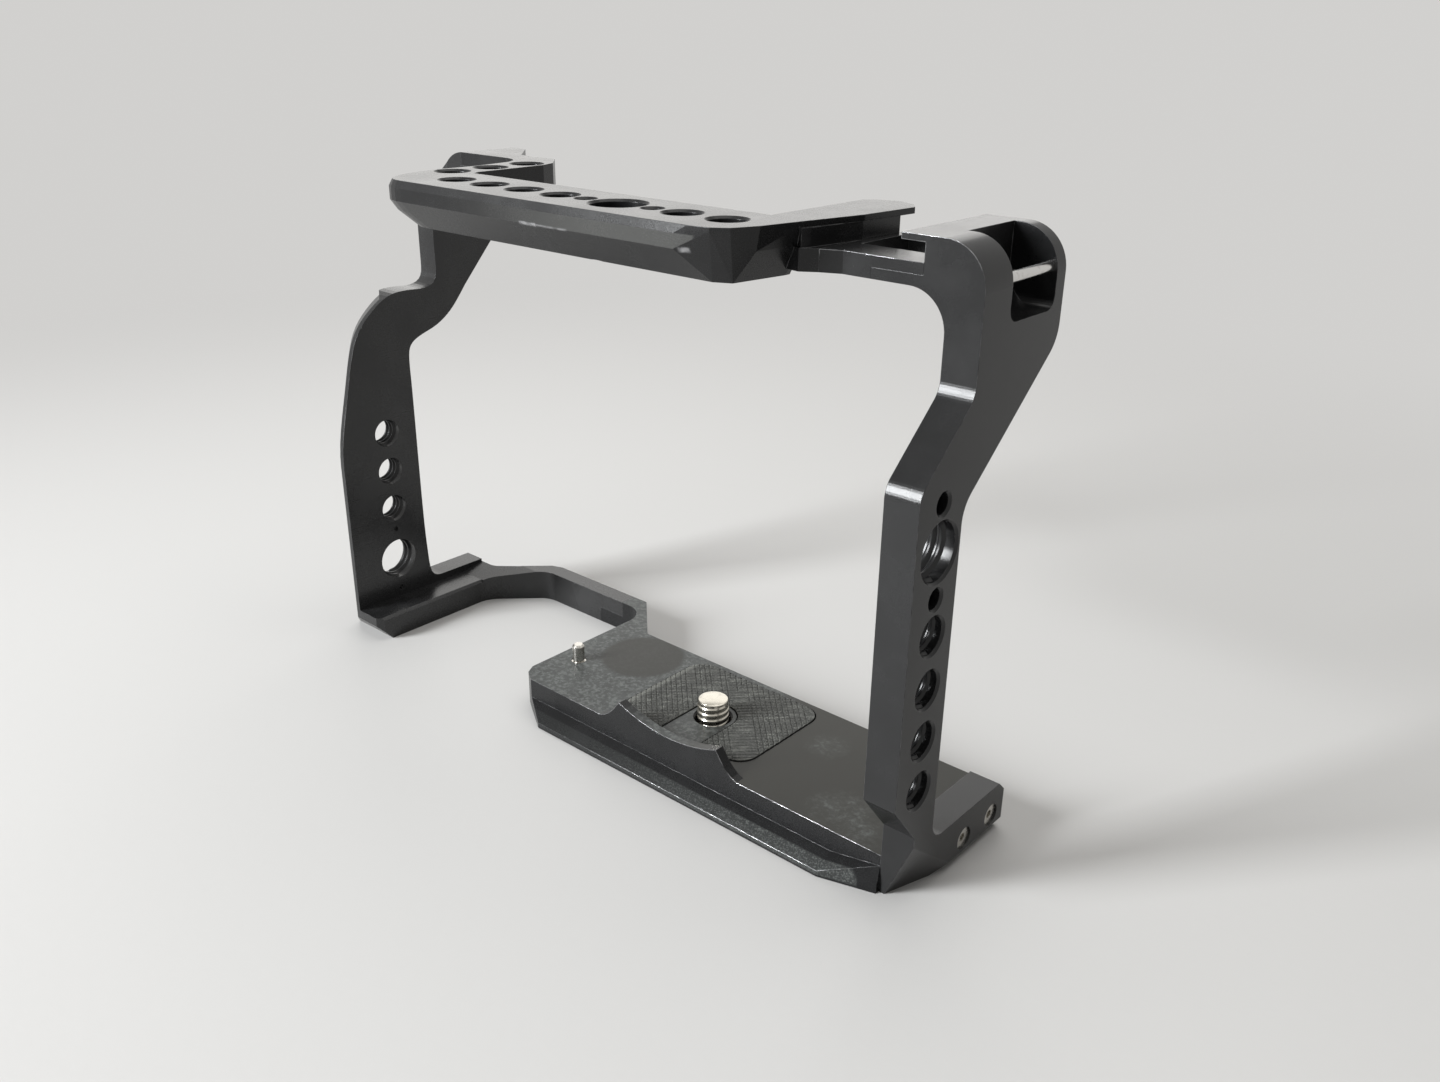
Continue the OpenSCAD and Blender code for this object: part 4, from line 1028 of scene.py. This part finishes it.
@dataclass(frozen=True)
class Threads:
    """Cut threads of the accessory holes: the holes' middles in millimetres."""

    bar_row: float = -18.8
    bar_x: tuple[float, ...] = (39.1, 29.9, 2.1, -7.1, -16.3, -25.5)
    bar_big_x: float = 15.9
    bar_z: float = 103.85
    wing_x: float = -36.1
    wing_y: tuple[float, ...] = (-11.6, -2.4, 6.8)
    wing_z: float = 105.35
    arm_x: float = 75.25
    arm_row: float = -15.7
    arm_z: tuple[float, ...] = (50.5, 41.3, 32.1, 22.9)
    arm_big_z: float = 64.3
    grip_x: float = -75.5
    grip_row: float = -7.3
    grip_z: tuple[float, ...] = (28.2, 37.4, 46.6)
    grip_big_z: float = 15.3
    foot_x: Pair = (46.0, 56.0)
    foot_z: float = 2.8
    finish: Anodised = Anodised("thread_metal", edge_wear_and_highlight=0.25, edge=0.08, roughness=0.3)

    def rows(self) -> list[HoleRow]:
        """Returns the rows of holes, one for each plate."""
        bar, arm, grip = self.bar_row, self.arm_row, self.grip_row
        return [
            HoleRow("bar_threads", "top_bar", Axis.UP, [(x, bar, self.bar_z) for x in self.bar_x],
                    [(self.bar_big_x, bar, self.bar_z)], 5, 4),
            HoleRow("wing_threads", "top_bar", Axis.UP, [(self.wing_x, y, self.wing_z) for y in self.wing_y],
                    [], 3, 0),
            HoleRow("arm_threads", "side_arm", Axis.OUT_RIGHT, [(self.arm_x, arm, z) for z in self.arm_z],
                    [(self.arm_x, arm, self.arm_big_z)], 3, 2),
            HoleRow("grip_threads", "grip_plate", Axis.OUT_RIGHT, [(self.grip_x, grip, z) for z in self.grip_z],
                    [(self.grip_x, grip, self.grip_big_z)], 3, 2),
            HoleRow("tripod_threads", "base_plate", Axis.UP, [(self.foot_x[0], 0.0, self.foot_z)],
                    [(self.foot_x[1], 0.0, self.foot_z)], 3, 2),
        ]

    def build(self) -> None:
        """Makes and dresses the threads of every plate."""
        material = self.finish.material()
        for row in self.rows():
            piece = row.build()
            Bench.dress(piece, material)
            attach(piece, "frame")


@dataclass(frozen=True)
class CameraScrew:
    """Captive quarter inch screw with a slotted head and a cut thread, in millimetres."""

    x: float = 22.0
    y: float = -1.1
    head_z: float = 2.1
    head_h: float = 2.4
    head_r: float = 6.5
    head_rim: float = 0.25
    rim_turn: float = math.radians(60)
    top: float = 11.4
    core_r: float = 2.98
    tip: float = 0.35
    tip_bevel: float = 0.245
    slot_w: float = 1.7
    slot_d: float = 1.2
    turns: int = 4
    thread_drop: float = 0.62
    segments: int = 64
    ridge: Thread = Thread(QUARTER_R, QUARTER_PITCH, inward=False, depth=0.24, buried=0.05, crest=0.3)
    finish: TurnedSteel = TurnedSteel("screw_steel", tone=(0.6, 0.57, 0.5), roughness=0.22)

    def at(self, height: float) -> Vector:
        """Gives a place on the screw's axis.

        Args:
            height: its height.

        Returns:
            The place in metres.
        """
        return Vector((self.x, self.y, height)) * MM

    def cylinder(self, name: str, radius: float, low: float, high: float) -> Piece:
        """Makes a cylinder on the screw's axis.

        Args:
            name: its name.
            radius: its radius.
            low: its lower end.
            high: its upper end.

        Returns:
            The cylinder.
        """
        Bench.clear()
        middle = self.at((low + high) / 2)
        bpy.ops.mesh.primitive_cylinder_add(
            vertices=self.segments, radius=radius * MM, depth=(high - low) * MM, location=middle)
        return Bench.settle(name)

    def shaft(self) -> Piece:
        """Returns the plain core with its bevelled tip."""
        piece = self.cylinder("screw_core", self.core_r, self.head_z, self.top)
        Bench.select(piece, lambda co: co.z > (self.top - SAME_LEVEL) * MM)
        bpy.ops.mesh.bevel(offset=self.tip_bevel * MM, segments=2, affect="EDGES")
        bpy.ops.object.mode_set(mode="OBJECT")
        return piece

    def head(self) -> Piece:
        """Returns the slotted head with its bevelled rims."""
        piece = self.cylinder("screw_head", self.head_r, self.head_z, self.head_z + self.head_h)
        Bench.apply(piece, "BEVEL", {"width": self.head_rim * MM, "segments": 2, "angle_limit": self.rim_turn})
        bpy.ops.mesh.primitive_cube_add(size=1.0, location=self.at(self.head_z))
        bpy.context.object.scale = (3 * self.head_r * MM, self.slot_w * MM, 2 * self.slot_d * MM)
        cutter = Bench.settle("slot_cutter")
        Bench.apply(piece, "BOOLEAN", {"operation": "DIFFERENCE", "object": cutter, "solver": "EXACT"})
        bpy.data.objects.remove(cutter)
        return piece

    def build(self) -> None:
        """Makes and dresses the screw, which stands for its plain solid."""
        ridge = self.ridge.coil(self.turns, "screw_ridge")
        middle = self.top - self.tip - self.turns * self.ridge.pitch / 2 - self.thread_drop
        ridge.data.transform(Matrix.Translation(self.at(middle)))
        piece = Bench.join([self.head(), self.shaft(), ridge], "camera_screw_threaded")
        bpy.ops.object.shade_smooth_by_angle(angle=SMOOTH_TURN)
        Bench.dress(piece, self.finish.material())
        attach(piece, "screw")
        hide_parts("camera_screw")


@dataclass(frozen=True)
class HatchedPad:
    """Rubber pad whose top is cut by two sets of crossing grooves, in millimetres."""

    pitch: float = 1.05
    groove_w: float = 0.4
    groove_d: float = 0.15
    finish: HatchedRubber = HatchedRubber("pad_rubber")

    def grooves(self, low: Vector, high: Vector) -> list[tuple[Vector, float]]:
        """Lists the grooves' bottom lines.

        Args:
            low: the pad's lowest corner in millimetres.
            high: its highest corner in millimetres.

        Returns:
            The normal and the distance from the origin of each line.
        """
        lines: list[tuple[Vector, float]] = []
        corners = [(x, y) for x in (low.x, high.x) for y in (low.y, high.y)]
        for normal in (Vector((1, 1, 0)).normalized(), Vector((1, -1, 0)).normalized()):
            reach = [normal.x * x + normal.y * y for x, y in corners]
            count = int((max(reach) - min(reach)) / self.pitch)
            lines += [(normal, min(reach) + (step + 0.5) * self.pitch) for step in range(count + 1)]
        return lines

    def hatch(self, piece: Piece, lines: list[tuple[Vector, float]]) -> None:
        """Cuts the grooves into the pad's top, which is in edit mode.

        Args:
            piece: the pad's top.
            lines: the grooves' bottom lines.
        """
        for normal, reach in lines:
            for offset in (-self.groove_w / 2, 0.0, self.groove_w / 2):
                bpy.ops.mesh.select_all(action="SELECT")
                bpy.ops.mesh.bisect(plane_co=normal * (reach + offset) * MM, plane_no=normal)

        def in_groove(co: Vector) -> bool:
            """Tells whether a point is on a groove's line."""
            return any(abs((n.x * co.x + n.y * co.y) / MM - reach) < SAME_LEVEL for n, reach in lines)

        Bench.select(piece, in_groove)
        bpy.ops.transform.translate(value=(0.0, 0.0, -self.groove_d * MM))

    def build(self) -> None:
        """Makes and dresses the pad, which stands for its plain solid."""
        piece = Bench.copy("pad_hatched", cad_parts["base_pad"], Matrix())
        low, high = (Vector(corner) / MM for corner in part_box("base_pad"))
        Bench.select(piece, lambda co: co.z < (high.z - SAME_LEVEL) * MM, "FACE")
        bpy.ops.mesh.delete(type="FACE")
        bpy.ops.mesh.select_all(action="SELECT")
        bpy.ops.mesh.remove_doubles(threshold=SAME_POINT * MM)
        bpy.ops.mesh.dissolve_limited(angle_limit=FLAT_TURN)
        self.hatch(piece, self.grooves(low, high))
        Bench.select_rims()
        drop = (0.0, 0.0, -(high.z - low.z - self.groove_d) * MM)
        bpy.ops.mesh.extrude_edges_move(TRANSFORM_OT_translate={"value": drop})
        centre = ((low.x + high.x) / 2 * MM, (low.y + high.y) / 2 * MM, low.z * MM)
        bpy.ops.transform.resize(value=(1.0, 1.0, 0.0), center_override=centre)
        bpy.ops.mesh.edge_face_add()
        bpy.ops.object.mode_set(mode="OBJECT")
        Bench.outward(piece)
        Bench.dress(piece, self.finish.material(low, high))
        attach(piece, "frame")
        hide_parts("base_pad")


@dataclass(frozen=True)
class Dress:
    """Finishes of the solid pieces: steel has marks round an upright or a lying axis."""

    upright: tuple[str, ...] = ("retaining_ring", "locating_pin", "key", "corner_screws", "arm_head_screws",
                                "shoulder_screws", "neck_screws", "rail_screws")
    lying: tuple[str, ...] = ("foot_screws", "grip_screws")
    # Painted highlights along the lip's top edge and the base's front and bottom edges.
    base: Anodised = DustAndLightAnodised("base_metal", specular=0.23, edge_wear_and_highlight=0.35, highlit_edges=(
        Box((-4.0, -30.0, 6.6), (37.0, -14.0, 14.0), strength=0.8),
        Box((34.0, -30.0, 6.6), (70.0, -14.0, 8.4)),
        Box((6.0, -30.0, 0.2), (70.0, -16.0, 1.8), 0.4),
    ))
    upper: Anodised = Anodised(
        "bar_metal",
        # Painted glints along the bar's front crease.
        painted_glints=(
            Box((1.5, -30.0, 104.15), (5.5, -25.0, 104.65), 0.15),
            Box((5.0, -30.0, 104.25), (13.0, -25.0, 104.55), 0.15, 0.4),
            Box((36.8, -30.0, 104.0), (38.6, -25.0, 104.7), 0.25, 0.8),
        ),
        # Painted sheen on the bar's front face, lighter for the light it reflects.
        front_sheen_boxes=(Box((0.0, -30.0, 104.4), (40.0, -27.0, 106.7), 0.05, 1.0, 22.0),),
    )
    side: Anodised = Anodised(
        "arm_metal", specular=0.38, roughness=0.24,
        # Painted highlights along the arm head's front top edge and the bracket's opening edges.
        highlit_edges=(
            Box((63.0, -25.0, 104.5), (79.0, -9.0, 109.0), strength=0.75),
            Box((50.5, -19.0, 103.4), (63.0, -2.0, 105.6), strength=0.8),
        ),
        covered_edges=(Box((56.0, -30.0, 95.0), (69.6, 30.0, 110.0)),),
    )
    grip: Anodised = Anodised(
        # Painted light: the grip's faded tone is set lighter, for the window light that falls on the grip side.
        "grip_metal", specular=0.5, faded=(0.026, 0.0265, 0.027),
        # Painted highlight along the grip plate's front edge.
        highlit_edges=(Box((-79.0, -21.0, 46.0), (-72.0, -17.0, 86.0)),),
    )
    turned: TurnedSteel = TurnedSteel("turned_steel")
    screw_head: TurnedSteel = TurnedSteel("screw_head_steel", marks=(0.25, 5.0, 5.0))
    strap: TurnedSteel = TurnedSteel(
        "strap_pin_steel", tone=(0.72, 0.71, 0.69), roughness=0.16, marks=(3.3, 0.33, 3.3))
    magnet: TurnedSteel = TurnedSteel("magnet_nickel", tone=(0.7, 0.7, 0.72), roughness=0.14)
    washer: Moulded = Moulded("washer_plastic", (0.3, 0.28, 0.24), 0.45)

    def build(self) -> None:
        """Dresses every solid piece that shows."""
        for finish, names in (
            (self.upper, ("top_bar", "shoulder")),
            (self.side, ("corner_bracket", "side_arm")),
            (self.grip, ("grip_plate", "grip_rail")),
            (self.base, ("base_plate",)),
            (self.turned, self.upright),
            (self.screw_head, self.lying),
            (self.strap, ("strap_pin",)),
            (self.magnet, ("key_magnets",)),
            (self.washer, ("screw_washer",)),
        ):
            material = finish.material()
            for name in names:
                Bench.dress(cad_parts[name], material)


# ---- studio


@dataclass(frozen=True)
class Lamp:
    """Soft rectangular lamp, in metres and watts."""

    name: str
    place: Point
    size: Pair
    power: float
    tint: Colour

    def hang(self, aim: Point) -> None:
        """Hangs the lamp.

        Args:
            aim: the place that it points at.
        """
        Bench.clear()
        bpy.ops.object.light_add(type="AREA", location=self.place)
        lamp = Bench.named(self.name)
        lamp.data.shape = "RECTANGLE"
        lamp.data.size, lamp.data.size_y = self.size
        lamp.data.energy = self.power
        lamp.data.color = self.tint
        toward = Vector(aim) - Vector(self.place)
        lamp.rotation_euler = toward.to_track_quat("-Z", "Y").to_euler()


@dataclass(frozen=True)
class Studio:
    """Floor, lights, surroundings and camera.

    Attributes:
        camera_at: the camera's place in millimetres, and its turns are in degrees.
        focal_px: its focal length in pixels of an image image_w wide.
        fade: distances in millimetres between which the floor turns into the backdrop.
        aim: the place that the lamps point at, in metres, as is floor_size.
        lighting: the surroundings' strength as a light.
        shown: their strength where they are seen.
    """

    camera_at: Point = (162.63, -162.69, 136.73)
    yaw: float = 40.79
    pitch: float = 23.111
    roll: float = 0.781
    focal_px: float = 1242.7
    image_w: float = 1440.0
    sensor: float = 36.0
    clip_start: float = 0.01
    floor_tone: Colour = (0.62, 0.613, 0.6)
    floor_dim: float = 0.985
    floor_grain: Mottle = Mottle(0.4, 3.0)
    floor_rough: float = 0.6
    floor_sway: float = 0.1
    floor_depth: float = 0.02
    backdrop_tone: Colour = (0.64, 0.633, 0.62)
    fade: Limits = (130.0, 460.0)
    floor_size: float = 12.0
    aim: Point = (0.0, 0.0, 0.05)
    lighting: float = 0.34
    shown: float = 1.0
    lamps: tuple[Lamp, ...] = (
        Lamp("window", (-0.49, -0.94, 0.47), (0.28, 0.62), 22.0, (0.96, 0.98, 1.0)),
        Lamp("overhead", (0.1, 0.3, 1.5), (1.4, 1.4), 9.0, (1.0, 0.99, 0.97)),
        Lamp("back_wall", (-0.85, 1.0, 0.62), (1.1, 1.1), 3.8, (1.0, 0.985, 0.96)),
    )

    def camera(self) -> None:
        """Places the camera."""
        yaw, pitch, roll = (math.radians(angle) for angle in (self.yaw, self.pitch, self.roll))
        ahead = Vector((-math.sin(yaw) * math.cos(pitch), math.cos(yaw) * math.cos(pitch), -math.sin(pitch)))
        level = Vector((math.cos(yaw), math.sin(yaw), 0.0))
        upright = level.cross(ahead)
        right = level * math.cos(roll) + upright * math.sin(roll)
        up = upright * math.cos(roll) - level * math.sin(roll)
        data = bpy.data.cameras.new("camera")
        data.sensor_width = self.sensor
        data.lens = self.focal_px / self.image_w * self.sensor
        data.clip_start = self.clip_start
        eye = bpy.data.objects.new("camera", data)
        bpy.context.scene.collection.objects.link(eye)
        turn = Matrix((right, up, -ahead)).transposed().to_4x4()
        eye.matrix_world = Matrix.Translation(Vector(self.camera_at) * MM) @ turn
        bpy.context.scene.camera = eye

    def floor(self) -> None:
        """Lays the pale floor, which far off looks like the backdrop."""
        Bench.clear()
        bpy.ops.mesh.primitive_plane_add(size=self.floor_size)
        piece = Bench.named("floor")
        graph = Graph("floor_paint")
        grain = graph.noise(self.floor_grain)
        dim: Colour = tuple(channel * self.floor_dim for channel in self.floor_tone)
        paint = graph.node("ShaderNodeBsdfPrincipled", {}, {
            "Base Color": graph.blend(grain, dim, self.floor_tone),
            "Roughness": self.floor_rough + grain.sway(self.floor_sway),
            "Normal": graph.bump(grain, self.floor_depth),
        })
        far = graph.seeing() * graph.away((0.0, 0.0)).between(*self.fade)
        glow = graph.node("ShaderNodeEmission", {}, {"Color": (*self.backdrop_tone, 1.0)})
        mixed = graph.node("ShaderNodeMixShader", {}, {0: far, 1: paint.outputs[0], 2: glow.outputs[0]})
        graph.node("ShaderNodeOutputMaterial", {}, {"Surface": mixed.outputs[0]})
        Bench.dress(piece, graph.material)

    def world(self) -> None:
        """Sets the pale surroundings, brighter where they are seen than where they light."""
        world = bpy.data.worlds.new("studio")
        bpy.context.scene.world = world
        world.use_nodes = True
        nodes = Nodes(world.node_tree)
        dim, bright = (
            nodes.node("ShaderNodeBackground", {}, {"Color": (*self.backdrop_tone, 1.0), "Strength": strength})
            for strength in (self.lighting, self.shown))
        inputs = {0: nodes.seeing(), 1: dim.outputs[0], 2: bright.outputs[0]}
        mixed = nodes.node("ShaderNodeMixShader", {}, inputs)
        nodes.node("ShaderNodeOutputWorld", {}, {"Surface": mixed.outputs[0]})

    def build(self) -> None:
        """Sets up the whole studio."""
        self.camera()
        self.floor()
        for lamp in self.lamps:
            lamp.hang(self.aim)
        self.world()
        bpy.context.scene.view_settings.view_transform = "Standard"


def main() -> None:
    """Builds the studio and the object's pieces in order."""
    logging.basicConfig(level=logging.INFO, format="%(name)s: %(message)s")
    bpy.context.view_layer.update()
    for group in (Studio(), Dress(), Threads(), CameraScrew(), HatchedPad()):
        group.build()
        LOG.info("%s done", type(group).__name__)
    Bench.clear()


if __name__ == "__main__":
    main()
